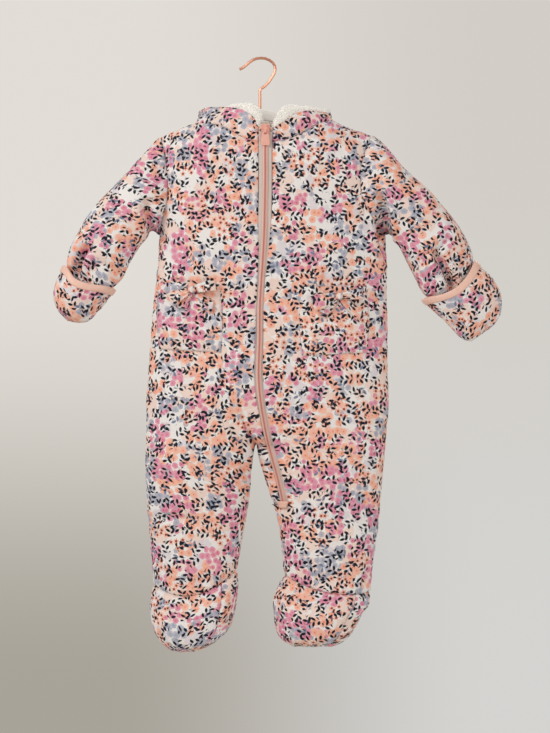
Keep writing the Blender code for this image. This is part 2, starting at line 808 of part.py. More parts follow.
for side in ("right", "left"):
    neck, stations = hood_stations(side)
    v = np.linspace(0, 1, HOOD_ROWS + 1)
    curves = np.array([hood_curve(side, at, point, v) for at, point in zip(stations, neck)])
    sheet = Sheet("hood_" + side, "floral", PADDED_WALL, flip=side == "left")
    sheet.grid(np.swapaxes(curves, 0, 1))
    EDGES[side, "hood"] = curves

share_normals(SHEETS)
SHEET_OF = {sheet.name: sheet for sheet in SHEETS}


def normals_at(sheet, points):
    """The sheet's outward directions at points of its own grid."""
    return sheet.normals[[sheet.corner(point, 0) for point in points]]


# the plush inside the hood, rolled out past the floral edge; it starts at this row
LINING_FROM = {
    "right": table("at row", (0, 2), (0.4, 2), (0.5, 7), (0.6, 8), (0.7, 12), (1, 12)),
    "left": table("at row", (0, 2), (0.38, 2), (0.46, 8), (0.53, 10), (0.62, 11), (1, 12)),
}
# how far the plush reaches past the floral edge, at places along it
ROLL_AT = [0, 0.12, 0.45, 0.7, 1]
ROLL_REACH = [1.5, ROLL_OUT, ROLL_OUT, 5, 4]
LIP_OUT = 2.4
LIP_BACK = 1.2
CROWN_BACK = 3.2
CROWN_THINNER = 3.0
linings = []
for side in ("right", "left"):
    hood = SHEET_OF["hood_" + side]
    stations = hood_stations(side)[1]
    first = along(LINING_FROM[side], "row", stations).round().astype(int)
    reach = np.interp(stations, ROLL_AT, ROLL_REACH)
    columns = []
    for curve, out in zip(EDGES[side, "hood"], reach):
        normals = normals_at(hood, curve)
        skin = curve - normals * (PADDED_WALL + LINING_GAP)
        onward = curve[-1] - curve[-2]
        onward /= np.linalg.norm(onward)
        lip = curve[-1] + onward * LIP_OUT - normals[-1] * LIP_BACK
        crown = curve[-1] + onward * out - normals[-1] * CROWN_BACK
        columns.append(np.concatenate([skin, [lip, crown]]))
    rows = np.swapaxes(np.array(columns), 0, 1)
    walls = [[PLUSH_WALL] * len(stations)] * (HOOD_ROWS + 1)
    walls += [[PLUSH_ROLL] * len(stations), [PLUSH_ROLL - CROWN_THINNER] * len(stations)]
    sheet = Sheet("hood_lining_" + side, "plush", PLUSH_WALL, flip=side == "left")
    sheet.grid(rows, walls, first)
    linings.append(sheet)
share_normals(linings)


# ---------------------------------------------------------------------- zip
def zip_edge(side):
    """Points and directions down one side of the zip: the hood's edge, then the front's."""
    hood = EDGES[side, "hood"][0][::-1]
    normals = normals_at(SHEET_OF["hood_" + side], hood)
    points = [row[-1] for row in EDGES[side, "front"][0]]
    if side == "right":
        points += [row[-1] for row in strip[1:]]
    out = normals_at(SHEET_OF["front_" + side], points)
    return np.concatenate([hood[:-1], points]), np.concatenate([normals[:-1], out])


def zip_lines():
    """The zip's two edges and its middle line, each as points and directions."""
    right, left = zip_edge("right"), zip_edge("left")
    points = (right[0] + left[0]) / 2
    normals = right[1] + left[1]
    normals /= np.linalg.norm(normals, axis=1, keepdims=True)
    down = -points[:, 2]
    level = down > -EDGES["left", "front"][0][0][-1][2] + 0.01
    points[level] = body_point(along(ZIP, "x", down[level]), down[level], "front")
    return right, (points, normals), left


def zip_strip(name, material, edges, sunk, wall, first, last, cut=0.0):
    """A strip between two lines along the zip, from one row to another."""
    rows = []
    for points, normals in edges:
        line = (points - normals * sunk)[first:last]
        line[-1] += (line[-2] - line[-1]) * cut
        rows.append(line)
    sheet = Sheet(name, material, wall, inside=INSIDE_TRUNK)
    sheet.grid(rows)
    sheet.face_normals()
    return sheet


def between(a, b, share):
    """A line a share of the way from one line to another."""
    normals = a[1] + (b[1] - a[1]) * share
    normals /= np.linalg.norm(normals, axis=1, keepdims=True)
    return a[0] + (b[0] - a[0]) * share, normals


zip_right, zip_middle, zip_left = zip_lines()
TAPE_FIRST = 4
CHAIN_FIRST = 9
INSET = 0.03
CHAIN_CUT = 0.35
to_right, to_left = (between(zip_middle, e, CHAIN_HALF / ZIP_HALF) for e in (zip_right, zip_left))
share_normals(
    [
        zip_strip(
            "zip_tape_right", "tape",
            (between(zip_right, zip_middle, INSET), to_right, zip_middle),
            TAPE_SUNK, TAPE_CLOTH, TAPE_FIRST, None,
        ),
        zip_strip(
            "zip_tape_left", "tape",
            (zip_middle, to_left, between(zip_left, zip_middle, INSET)),
            TAPE_SUNK, TAPE_CLOTH, TAPE_FIRST, None,
        ),
    ]
)
zip_strip(
    "zip_chain", "chain", (to_right, zip_middle, to_left),
    TAPE_SUNK - LAYER_GAP - CHAIN_THICK, CHAIN_THICK, CHAIN_FIRST, None, CHAIN_CUT,
)


# ------------------------------------------------------ mitten bindings
EDGE_TURN = 0.4

for side in ("right", "left"):
    mitten = SHEET_OF["mitten_front_" + side]
    rings = EDGES[side, "mitten_front"]
    edge, next_ring = rings[0], rings[1]
    normals = normals_at(mitten, edge)
    next_normals = normals_at(mitten, next_ring)
    along_cloth = next_ring - edge
    length = np.linalg.norm(along_cloth, axis=1, keepdims=True)
    down_cloth = along_cloth / length
    share = np.minimum(BINDING_WIDTH / length, 1)
    low_normal = normals + (next_normals - normals) * share
    raised = LAYER_GAP + BINDING_CLOTH
    rows = [
        edge - normals * MITTEN_WALL - down_cloth * raised,
        edge + normals * raised * EDGE_TURN - down_cloth * raised,
        edge + normals * raised,
        edge + along_cloth * share + low_normal * raised,
    ]
    sheet = Sheet("mitten_binding_" + side, "binding", BINDING_CLOTH, inside=rings[3].mean(axis=0))
    sheet.grid(rows)
    sheet.face_normals()


# ------------------------------------------------------------------ pockets
POCKET = {
    "right": table(
        "at out_x out_down in_x in_down",
        (0, -121, 268, -48, 271), (0.5, -123, 309, -44, 311), (1, -120, 348, -46, 352),
    ),
    "left": table(
        "at out_x out_down in_x in_down",
        (0, 126, 272, 50, 274), (0.5, 130, 312, 47, 313), (1, 128, 352, 50, 356),
    ),
}
POCKET_PUFF = 3.5
POCKET_SIDE = 0.22
POCKET_FOOT = 0.25


def pocket_lift(across, down):
    """How far the pocket stands off the front: sewn down at its sides and foot, slack on top."""
    edge = np.minimum(1, np.minimum(across, 1 - across) / POCKET_SIDE)
    foot = np.minimum(1, (1 - down) / POCKET_FOOT)
    return LAYER_GAP + POCKET_PUFF * np.sin(edge * np.pi / 2) * np.sin(foot * np.pi / 2)


def pocket_point(side, across, down, height):
    """A point over the pocket's area, at a height off the front's outer face."""
    data = POCKET[side]
    out_x, out_down, in_x, in_down = (along(data, c, down) for c in list(data)[1:])
    x = out_x + (in_x - out_x) * across
    d = out_down + (in_down - out_down) * across
    base = body_point(x, d, "front")
    return base + body_normal(x, d, "front") * np.asarray(height)[..., None]


for side in ("right", "left"):
    across = np.linspace(0, 1, POCKET_COLS + 1)
    rows = []
    for down in np.linspace(0, 1, POCKET_ROWS + 1):
        level = np.full_like(across, down)
        height = pocket_lift(across, down) + POCKET_WALL
        rows.append(pocket_point(side, across, level, height))
    sheet = Sheet("pocket_" + side, "floral", POCKET_WALL, inside=INSIDE_TRUNK)
    sheet.grid(rows)
    sheet.face_normals()


# --------------------------------------------------------------------- bows
# each bow is a knot with two loops and two tails; turn is from +X towards down
BOW_AT = {"right": (-79.0, 277.0), "left": (92.5, 285.0)}
BOW_PARTS = (
    # side, piece, turn, length, width
    ("right", "loop_inner", -12, 26, 13),
    ("right", "loop_outer", 160, 29, 17),
    ("right", "tail_inner", 43, 31, 10),
    ("right", "tail_outer", 124, 26, 11),
    ("left", "loop_inner", 170, 31, 17),
    ("left", "loop_outer", -10, 29, 14),
    ("left", "tail_inner", 138, 28, 10),
    ("left", "tail_outer", 43, 35, 12),
)
# the way of the cloth out from the knot: share of the length, height, share of the width
LOOP_WAY = (
    (0, 2.9, 0.4), (0.45, 2.2, 0.8), (0.75, 2.2, 1), (0.93, 2.9, 1), (1, 5.1, 1),
    (0.93, 7.4, 1), (0.75, 8.4, 1), (0.45, 8.2, 0.8), (0, 6.9, 0.4),
)
TAIL_WAY = ((0, 1.9, 0.5), (0.45, 1.7, 0.8), (0.7, 1.8, 0.95), (1, 1.7, 1.1))
BOW_LOW = 0.3
BOW_ON_POCKET = 5.9
BOW_STEP = 6.0
BOW_COLS = 4
KNOT = (4.6, 3.8, 4.4)
KNOT_HEIGHT = 4.7
LOOP_CLEAR = 4.6


def bow_base(side, x, down):
    """Height of the cloth under a bow: it steps up onto the pocket."""
    top = along(POCKET[side], "out_down", 0)
    return BOW_LOW + BOW_ON_POCKET * smooth_step((down - top + BOW_STEP) / BOW_STEP)


def bow_point(side, x, down, height):
    """A point over the front at a bow."""
    base = body_point(x, down, "front")
    lift = bow_base(side, x, down) + height
    return base + body_normal(x, down, "front") * lift[..., None]


for side, piece, turn, length, width in BOW_PARTS:
    x0, down0 = BOW_AT[side]
    turn = math.radians(turn)
    rows = []
    for out, height, share in LOOP_WAY if "loop" in piece else TAIL_WAY:
        out = max(out, LOOP_CLEAR / length)
        across = np.linspace(-0.5, 0.5, BOW_COLS) * width * share
        x = x0 + out * length * math.cos(turn) - across * math.sin(turn)
        down = down0 + out * length * math.sin(turn) + across * math.cos(turn)
        rows.append(bow_point(side, x, down, np.full(BOW_COLS, height)))
    flip = np.cross(rows[1][0] - rows[0][0], rows[0][1] - rows[0][0])[1] < 0
    if "loop" in piece:
        flip = not flip
    sheet = Sheet("bow_" + piece + "_" + side, "floral", BOW_CLOTH, flip=not flip)
    sheet.grid(rows)
    sheet.face_normals()

for sheet in SHEETS:
    build_sheet(sheet)

for side, (x, down) in BOW_AT.items():
    centre = bow_point(side, x, down, np.array(KNOT_HEIGHT))
    work = bmesh.new()
    bmesh.ops.create_uvsphere(work, u_segments=12, v_segments=8, radius=1)
    mesh = bpy.data.meshes.new("bow_knot_" + side)
    bmesh.ops.scale(work, vec=[KNOT[0] * MM, KNOT[2] * MM, KNOT[1] * MM], verts=work.verts)
    work.to_mesh(mesh)
    work.free()
    mesh.shade_smooth()
    knot = place("bow_knot_" + side, mesh, "floral")
    knot.location = [c * MM for c in centre]


# ------------------------------------------------------------ slider and pull
def flat_outline(name, outlines, thick, material, edge=0.0):
    """A plate from closed outlines in x and down, the later ones holes, centred on y = 0."""
    curve = bpy.data.curves.new(name, "CURVE")
    curve.dimensions = "2D"
    curve.fill_mode = "BOTH"
    curve.extrude = (thick / 2 - edge) * MM
    curve.bevel_depth = edge * MM
    curve.bevel_resolution = 1
    curve.offset = -edge * MM
    for outline in outlines:
        spline = curve.splines.new("POLY")
        spline.points.add(len(outline) - 1)
        for point, (x, down) in zip(spline.points, outline):
            point.co = (x * MM, -down * MM, 0, 1)
        spline.use_cyclic_u = True
    plate = bpy.data.objects.new(name, curve)
    curve.materials.append(look(material))
    SUIT.objects.link(plate)
    plate.rotation_euler = (math.pi / 2, 0, 0)
    return plate


def box(name, low, high, material):
    """A block between two corners in millimetres."""
    bpy.ops.mesh.primitive_cube_add(size=1)
    block = bpy.context.object
    block.name = name
    block.data.name = name
    block.scale = [(h - l) * MM for l, h in zip(low, high)]
    block.location = [(h + l) / 2 * MM for l, h in zip(low, high)]
    bpy.context.view_layer.update()
    block.data.transform(block.matrix_world)
    block.matrix_world.identity()
    for collection in list(block.users_collection):
        collection.objects.unlink(block)
    SUIT.objects.link(block)
    block.data.materials.append(look(material))
    return block


def join_to(block, other):
    """Unites a block with another, which is used up."""
    union = block.modifiers.new("union", "BOOLEAN")
    union.operation = "UNION"
    union.object = other
    bpy.context.view_layer.update()
    mesh = bpy.data.meshes.new_from_object(
        block.evaluated_get(bpy.context.evaluated_depsgraph_get())
    )
    block.modifiers.clear()
    block.data = mesh
    bpy.data.objects.remove(other, do_unlink=True)


SLIDER_X = float(along(ZIP, "x", 90))
SLIDER = {"top": 80.0, "foot": 91.5, "wide": 9.6, "back": -29.9, "front": -33.6}
BRIDGE = {"top": 80.6, "foot": 90.6, "wide": 2.4, "out": -39.3, "bar": 1.4, "post": 1.8}
PIVOT_DOWN = 87.6
PIVOT_Y = -36.5
low, high = SLIDER_X - SLIDER["wide"] / 2, SLIDER_X + SLIDER["wide"] / 2
slider = box(
    "zip_slider", (low, SLIDER["front"], -SLIDER["foot"]), (high, SLIDER["back"], -SLIDER["top"]),
    "pull",
)
low, high = SLIDER_X - BRIDGE["wide"] / 2, SLIDER_X + BRIDGE["wide"] / 2
join_to(
    slider,
    box(
        "bridge", (low, BRIDGE["out"], -BRIDGE["foot"]), (high, BRIDGE["out"] + BRIDGE["bar"],
        -BRIDGE["top"]), "pull",
    ),
)
for top in (BRIDGE["top"], BRIDGE["foot"] - BRIDGE["post"]):
    join_to(
        slider,
        box(
            "post", (low, BRIDGE["out"] + 0.2, -top - BRIDGE["post"]),
            (high, SLIDER["front"] + 0.5, -top), "pull",
        ),
    )

PULL_THICK = 1.5
TAB = table("down half", (0.0, 2.6), (3.6, 3.1), (5.5, 3.9), (12, 4.6), (17, 5.4), (19, 4.4))
shape = [(h, d - 0.75) for d, h in zip(TAB["down"], TAB["half"])]
shape += [(-x, d) for x, d in shape[::-1]]
window = [(1.7, 0.75), (1.7, 5.2), (-1.7, 5.2), (-1.7, 0.75)]
pull = flat_outline("zip_pull", [shape, window], PULL_THICK, "pull", 0.3)
pull.location = (SLIDER_X * MM, PIVOT_Y * MM, -PIVOT_DOWN * MM)

# the peach fold over the ends of the tapes, above the slider, and the tack at the foot
GUARD = [(-1.2, 84.0), (6.8, 79.4), (15.2, 84.6), (15.2, 88.2), (6.8, 83.4), (-1.2, 87.6)]
guard = flat_outline("zip_guard", [GUARD], 1.4, "binding")
guard.location = (0, -28.6 * MM, 0)
TACK_LEFT = 1.5
TACK_HALF = 6.5
TACK_LEVELS = (ZIP_END - 5, ZIP_END - 1, ZIP_END + 3.5)
TACK_COLS = 4
tack_x = float(along(ZIP, "x", ZIP_END)) - TACK_LEFT
tack = Sheet("zip_tack", "binding", 1.4)
tack_rows = []
for down in TACK_LEVELS:
    x = tack_x + np.linspace(-TACK_HALF, TACK_HALF, TACK_COLS)
    level = np.full(TACK_COLS, down)
    tack_rows.append(
        body_point(x, level, "front") + body_normal(x, level, "front") * TACK_HEIGHT
    )
tack.grid(tack_rows)
tack.inside = INSIDE_TRUNK
tack.face_normals()
build_sheet(tack)


# ----------------------------------------------------------- hook and hanger
HOOK = (
    (0, 59.1), (0, 48), (0, 37.5), (1.2, 35.2), (5.3, 32.4), (10.2, 27.6), (14.2, 21.6),
    (17.2, 16.4), (18.4, 11.8), (17.8, 7.6), (15.4, 3.8), (11.4, 0.9), (6.4, -1.2), (1.4, -1.75),
    (-3.6, -1.3), (-8.6, 0.6), (-13, 3.6), (-17, 7.2), (-20.6, 10), (-24.6, 12),
)
wire = bpy.data.curves.new("hanger_hook", "CURVE")
wire.dimensions = "3D"
wire.bevel_depth = HOOK_WIRE * MM
wire.bevel_resolution = 2
wire.use_fill_caps = True
spline = wire.splines.new("POLY")
spline.points.add(len(HOOK) - 1)
for point, (x, down) in zip(spline.points, HOOK):
    point.co = (x * MM, 0, -down * MM, 1)
wire.materials.append(look("rose_gold"))
SUIT.objects.link(bpy.data.objects.new("hanger_hook", wire))


SEARCH_TO = 140.0
SEARCH_STEP = 0.5
# the hanger's arms rise to the hook from inside the neck opening, more steeply at the hook
RISE_FROM = 1.08
RISE_STEEP = 0.25
ARM_TAPER = 4.0
ARM_COLS = 14
REACH = {"right": -108.0, "left": 118.0}


def under_shoulder(x):
    """down at which the two walls are far enough apart for the hanger."""
    lowest = 0.0
    for face in ("front", "back"):
        for down in np.arange(float(top_edge(x, face)), SEARCH_TO, SEARCH_STEP):
            inner = body_point(x, down, face) - body_normal(x, down, face) * (
                PADDED_WALL + LAYER_GAP
            )
            if abs(inner[1]) >= HANGER_THICK / 2 + HANGER_EASE:
                break
        lowest = max(lowest, -inner[2])
    return lowest + LAYER_GAP


def arm_top(x):
    """down of the hanger's upper edge: under the shoulders, and rising to the hook."""
    edge = NECK_POINT["right" if x < 0 else "left"] * RISE_FROM
    if abs(x) >= abs(edge):
        return under_shoulder(x)
    t = abs(x / edge)
    share = (1 - RISE_STEEP) * t + RISE_STEEP * t * t
    return HOOK_FOOT + (under_shoulder(edge) - HOOK_FOOT) * share


xs = [
    *np.linspace(REACH["right"], 0, ARM_COLS),
    *np.linspace(0, REACH["left"], ARM_COLS + 1)[1:],
]
upper = [(x, arm_top(x)) for x in xs]
lower = [
    (x, arm_top(x) + HANGER_ARM - ARM_TAPER * max(x / REACH["left"], x / REACH["right"]))
    for x in xs[::-1]
]
flat_outline("hanger_body", [upper + lower], HANGER_THICK, "velvet", 1.0)
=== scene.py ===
"""A padded baby snowsuit that hangs on a flocked coat hanger, dressed for a picture.

Lengths are in millimetres until a mesh is made. "down" is the distance below
the inside of the hook, x runs to the wearer's left and y to the back.
"""

import math

import bmesh
import bpy
import numpy as np
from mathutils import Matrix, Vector, kdtree


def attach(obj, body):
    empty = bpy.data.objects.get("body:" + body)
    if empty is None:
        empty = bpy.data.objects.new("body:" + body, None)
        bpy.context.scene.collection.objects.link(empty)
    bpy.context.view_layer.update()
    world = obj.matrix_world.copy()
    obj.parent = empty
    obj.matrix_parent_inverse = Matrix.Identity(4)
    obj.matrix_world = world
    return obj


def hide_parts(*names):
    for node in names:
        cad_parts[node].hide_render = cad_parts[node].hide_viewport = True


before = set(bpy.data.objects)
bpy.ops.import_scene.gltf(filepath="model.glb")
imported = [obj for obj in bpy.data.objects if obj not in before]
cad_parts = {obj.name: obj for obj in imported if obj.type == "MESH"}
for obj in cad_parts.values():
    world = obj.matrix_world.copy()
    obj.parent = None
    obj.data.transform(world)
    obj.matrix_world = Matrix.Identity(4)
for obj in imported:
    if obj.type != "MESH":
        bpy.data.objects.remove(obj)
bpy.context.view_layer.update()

MM = 0.001

# -------------------- camera and light
# The suit hangs well above a pale floor and is seen level from in front.
# A wide window light comes from the upper left, and a pale room fills the rest.
VIEW_CENTRE = Vector((0.018, 0.0, -0.3684))
VIEW_DISTANCE = 3.3
lens = bpy.data.cameras.new("camera")
lens.sensor_fit = "VERTICAL"
lens.sensor_height = 36.0
lens.lens = 135.08


def put_in_scene(name, data):
    """A new object of the scene that shows a mesh, a light or a camera."""
    thing = bpy.data.objects.new(name, data)
    bpy.context.scene.collection.objects.link(thing)
    return thing


camera = put_in_scene("camera", lens)
camera.location = VIEW_CENTRE - Vector((0, VIEW_DISTANCE, 0))
camera.rotation_euler = (math.pi / 2, 0, 0)
bpy.context.scene.camera = camera
bpy.context.scene.view_settings.view_transform = "Standard"


def linear(red, green, blue):
    """A colour as the eye sees it, as the light that the shaders work in."""
    return tuple(c / 12.92 if c < 0.04045 else ((c + 0.055) / 1.055) ** 2.4 for c in (red, green, blue))


def window(name, place, size, power, colour):
    """A soft rectangular light that looks at the middle of the suit."""
    light = bpy.data.lights.new(name, "AREA")
    light.shape = "RECTANGLE"
    light.size, light.size_y = size
    light.energy = power
    light.color = colour
    lamp = put_in_scene(name, light)
    lamp.location = place
    lamp.rotation_euler = (VIEW_CENTRE - Vector(place)).to_track_quat("-Z", "Y").to_euler()


window("window", (-1.5, -1.3, 0.75), (1.1, 1.3), 21, (1.0, 0.98, 0.95))
window("room", (1.5, -1.6, -0.6), (1.6, 1.6), 9, (1.0, 0.97, 0.94))
window("behind", (0.5, 1.7, 0.5), (1.4, 1.4), 10, (1.0, 0.98, 0.96))


class Term:
    """A number in a shader tree, used in plain arithmetic."""

    def __init__(self, socket):
        self.socket = socket
        self.tree = socket.id_data

    def maths(self, operation, *others, clamp=False):
        """One Math node on this number and the others."""
        node = self.tree.nodes.new("ShaderNodeMath")
        node.operation = operation
        node.use_clamp = clamp
        for slot_, term in zip(node.inputs, (self, *others)):
            if isinstance(term, Term):
                self.tree.links.new(term.socket, slot_)
            else:
                slot_.default_value = term
        return Term(node.outputs[0])

    def __add__(self, other):
        return self.maths("ADD", other)

    def __sub__(self, other):
        return self.maths("SUBTRACT", other)

    def __mul__(self, other):
        return self.maths("MULTIPLY", other)

    def __truediv__(self, other):
        return self.maths("DIVIDE", other)

    def clamped(self):
        """This number, kept between 0 and 1."""
        return self.maths("ADD", 0, clamp=True)

    def contrast(self, strength):
        """This number, pushed away from one half."""
        return (self - 0.5) * strength + 0.5

    def under(self, limit, soft):
        """1 where this is under a limit, 0 over it, with a soft edge."""
        gap = self * -1 + limit
        return (gap / soft).maths("ADD", 0.5, clamp=True)


def blend_colour(tree, share, below, above):
    """Lays one colour over another by a share."""
    node = tree.nodes.new("ShaderNodeMix")
    node.data_type = "RGBA"
    tree.links.new(share.socket, node.inputs["Factor"])
    for label, colour in (("A", below), ("B", above)):
        socket = [s for s in node.inputs if s.name == label and s.type == "RGBA"][0]
        if isinstance(colour, tuple):
            socket.default_value = (*colour, 1)
        else:
            tree.links.new(colour, socket)
    return [s for s in node.outputs if s.type == "RGBA"][0]


# painted shade on the backdrop that the camera sees: darker towards the floor on the window's side and even
# on the other, while the room lights the suit with one flat colour
world = bpy.data.worlds.new("pale room")
world.use_nodes = True
tree = world.node_tree
look = tree.nodes.new("ShaderNodeTexCoord")


def world_ramp(direction, *stops):
    """Colours along one direction of the room, as shares from one side to the other."""
    turn = tree.nodes.new("ShaderNodeVectorMath")
    turn.operation = "DOT_PRODUCT"
    turn.inputs[1].default_value = direction
    tree.links.new(look.outputs["Generated"], turn.inputs[0])
    from_middle = Term(turn.outputs["Value"])
    ramp = tree.nodes.new("ShaderNodeValToRGB")
    ramp.color_ramp.interpolation = "EASE"
    for element, (position, colour) in zip(ramp.color_ramp.elements, stops):
        element.position = position
        element.color = (*linear(*colour), 1)
    tree.links.new((from_middle + 0.5).socket, ramp.inputs["Fac"])
    return ramp.outputs["Color"]


falling = world_ramp((0, 0, 2.86), (0.17, (0.66, 0.64, 0.60)), (0.60, (0.885, 0.868, 0.842)))
level_side = world_ramp((0, 0, 2.2), (0.25, (0.835, 0.83, 0.82)), (0.70, (0.825, 0.808, 0.78)))
side_share = world_ramp((2.2, 0, 0), (0.36, (0, 0, 0)), (0.68, (1, 1, 1)))
painted_backdrop_shade = blend_colour(tree, Term(side_share), falling, level_side)
shown = tree.nodes["Background"]
tree.links.new(painted_backdrop_shade, shown.inputs["Color"])
lighting = tree.nodes.new("ShaderNodeBackground")
lighting.inputs["Color"].default_value = (*linear(0.85, 0.84, 0.825), 1)
lighting.inputs["Strength"].default_value = 0.70
ray = tree.nodes.new("ShaderNodeLightPath")
either = tree.nodes.new("ShaderNodeMixShader")
links = (
    (ray.outputs["Is Camera Ray"], either.inputs[0]),
    (lighting.outputs[0], either.inputs[1]),
    (shown.outputs[0], either.inputs[2]),
    (either.outputs[0], tree.nodes["World Output"].inputs["Surface"]),
)
for start, end in links:
    tree.links.new(start, end)
bpy.context.scene.world = world

FLOOR_LEVEL = -1.25
FLOOR_RADIUS = 1.3
disc = bmesh.new()
bmesh.ops.create_circle(disc, cap_ends=True, segments=96, radius=FLOOR_RADIUS)
floor_mesh = bpy.data.meshes.new("floor")
disc.to_mesh(floor_mesh)
disc.free()
floor = put_in_scene("floor", floor_mesh)
floor.location = (0, 0, FLOOR_LEVEL)
paint = bpy.data.materials.new("pale floor")
paint.use_nodes = True
painted = paint.node_tree.nodes["Principled BSDF"].inputs
painted["Base Color"].default_value = (*linear(0.84, 0.82, 0.79), 1)
painted["Roughness"].default_value = 0.9
floor_mesh.materials.append(paint)


# -------------------- printed cloth
# The shell is a fine plain-woven polyester with a scattered flower print: loose
# groups of washed flowers, small dark-hearted blossoms, and navy leaves on stems.
FULL_TURN = 6.283
PETALS = 5
SEED_SHIFT = (331.7, 157.3)
PLOT_SHIFT = (91.3, 213.9)
SOFT_EDGE = 0.35


def new_group(name, numbers, outputs):
    """A shader group with named number inputs and named outputs, and its ends."""
    tree = bpy.data.node_groups.new(name, "ShaderNodeTree")
    for label, value in numbers.items():
        socket = tree.interface.new_socket(label, in_out="INPUT", socket_type="NodeSocketFloat")
        socket.default_value = value
    for label, kind in outputs.items():
        tree.interface.new_socket(label, in_out="OUTPUT", socket_type="NodeSocket" + kind)
    start = tree.nodes.new("NodeGroupInput")
    end = tree.nodes.new("NodeGroupOutput")
    return tree, {label: Term(start.outputs[label]) for label in numbers}, end


def put(end, **terms):
    """Links terms to the outputs of a group."""
    for label, term in terms.items():
        end.id_data.links.new(term.socket, end.inputs[label.replace("_", " ")])


def use_group(tree, name, **values):
    """Places a group in a tree, with terms or numbers on its inputs."""
    node = tree.nodes.new("ShaderNodeGroup")
    node.node_tree = bpy.data.node_groups[name]
    for label, value in values.items():
        socket = node.inputs[label.replace("_", " ")]
        if isinstance(value, Term):
            tree.links.new(value.socket, socket)
        else:
            socket.default_value = value
    return {out.name: Term(out) for out in node.outputs}


def join_xy(tree, x, y):
    """Two numbers as a vector."""
    node = tree.nodes.new("ShaderNodeCombineXYZ")
    for slot_, term in zip(node.inputs, (x, y)):
        tree.links.new(term.socket, slot_)
    return node.outputs[0]


def part_of(tree, socket, kind="XYZ"):
    """The three parts of a vector or colour, as terms."""
    node = tree.nodes.new("ShaderNodeSeparate" + kind)
    tree.links.new(socket, node.inputs[0])
    return [Term(out) for out in node.outputs]


def noise(tree, vector, size, detail=2.0):
    """Soft noise with features of a given size."""
    node = tree.nodes.new("ShaderNodeTexNoise")
    node.noise_dimensions = "2D"
    node.inputs["Scale"].default_value = 1 / size
    node.inputs["Detail"].default_value = detail
    tree.links.new(vector, node.inputs["Vector"])
    return Term(node.outputs["Fac"])


def nearest_cell(tree, across, down, size, uneven):
    """The middle of the nearest cell of an uneven net, and two chances that go with it."""
    cells = tree.nodes.new("ShaderNodeTexVoronoi")
    cells.voronoi_dimensions = "2D"
    cells.inputs["Scale"].default_value = 1
    cells.inputs["Randomness"].default_value = uneven
    tree.links.new(join_xy(tree, across / size, down / size), cells.inputs["Vector"])
    at_x, at_y, _ = part_of(tree, cells.outputs["Position"])
    one, two, _ = part_of(tree, cells.outputs["Color"], "Color")
    return at_x * size, at_y * size, one, two


def make_bloom_group():
    """Flowers about one to a cell, in small groups of one kind."""
    tree, given, end = new_group(
        "print bloom",
        {
            "Across": 0, "Down": 0, "Spacing": 10, "Radius": 4, "Lobe": 0.1, "Bed": 22, "Reach": 10,
            "From": 0.5, "To": 1, "Seed": 0, "Plot": 0, "Heart": 0.6,
        },
        {"Mask": "Float", "Middle": "Float", "Edge": "Float", "Chance": "Float"},
    )
    shift_x, shift_y = (given["Seed"] * shift for shift in SEED_SHIFT)
    across, down = given["Across"] + shift_x, given["Down"] + shift_y
    at_x, at_y, chance, other = nearest_cell(tree, across, down, given["Spacing"], 0.66)
    x, y = across - at_x, down - at_y
    out = (x * x + y * y).maths("SQRT")
    petal = (y.maths("ARCTAN2", x) * PETALS + chance * FULL_TURN).maths("COSINE")
    radius = given["Radius"] * (other * 0.36 + 0.8) * (petal * given["Lobe"] + 1)
    home_x = at_x - shift_x + given["Plot"] * PLOT_SHIFT[0]
    home_y = at_y - shift_y + given["Plot"] * PLOT_SHIFT[1]
    bed_x, bed_y, family, wide = nearest_cell(tree, home_x, home_y, given["Bed"], 0.85)
    off_x, off_y = home_x - bed_x, home_y - bed_y
    inside = (off_x * off_x + off_y * off_y).maths("SQRT") / (wide * 0.5 + 0.75)
    keep = family.maths("GREATER_THAN", given["From"]) * family.maths("LESS_THAN", given["To"])
    keep = keep * inside.maths("LESS_THAN", given["Reach"])
    put(
        end,
        Mask=out.under(radius, SOFT_EDGE) * keep,
        Middle=out.under(given["Heart"], SOFT_EDGE) * keep,
        Edge=((out / radius - 0.35) * 1.7).clamped(),
        Chance=other,
    )


def turned(x, y, turn):
    """A place on the cloth, in a frame that is turned by an angle."""
    cosine, sine = turn.maths("COSINE"), turn.maths("SINE")
    return x * cosine + y * sine, y * cosine - x * sine


SPRIG_SHIFT = (7.31, 3.17)
BRICK_STEP = 0.37
STEM_BEND = 0.11
STEM_HALF_WIDE = 0.2
LEAF_PITCH = 6.4
LEAF_HALF = 3.05
LEAF_WIDE = 1.5
LEAF_OUT = 2.9
LEAF_LEAN = math.radians(50)


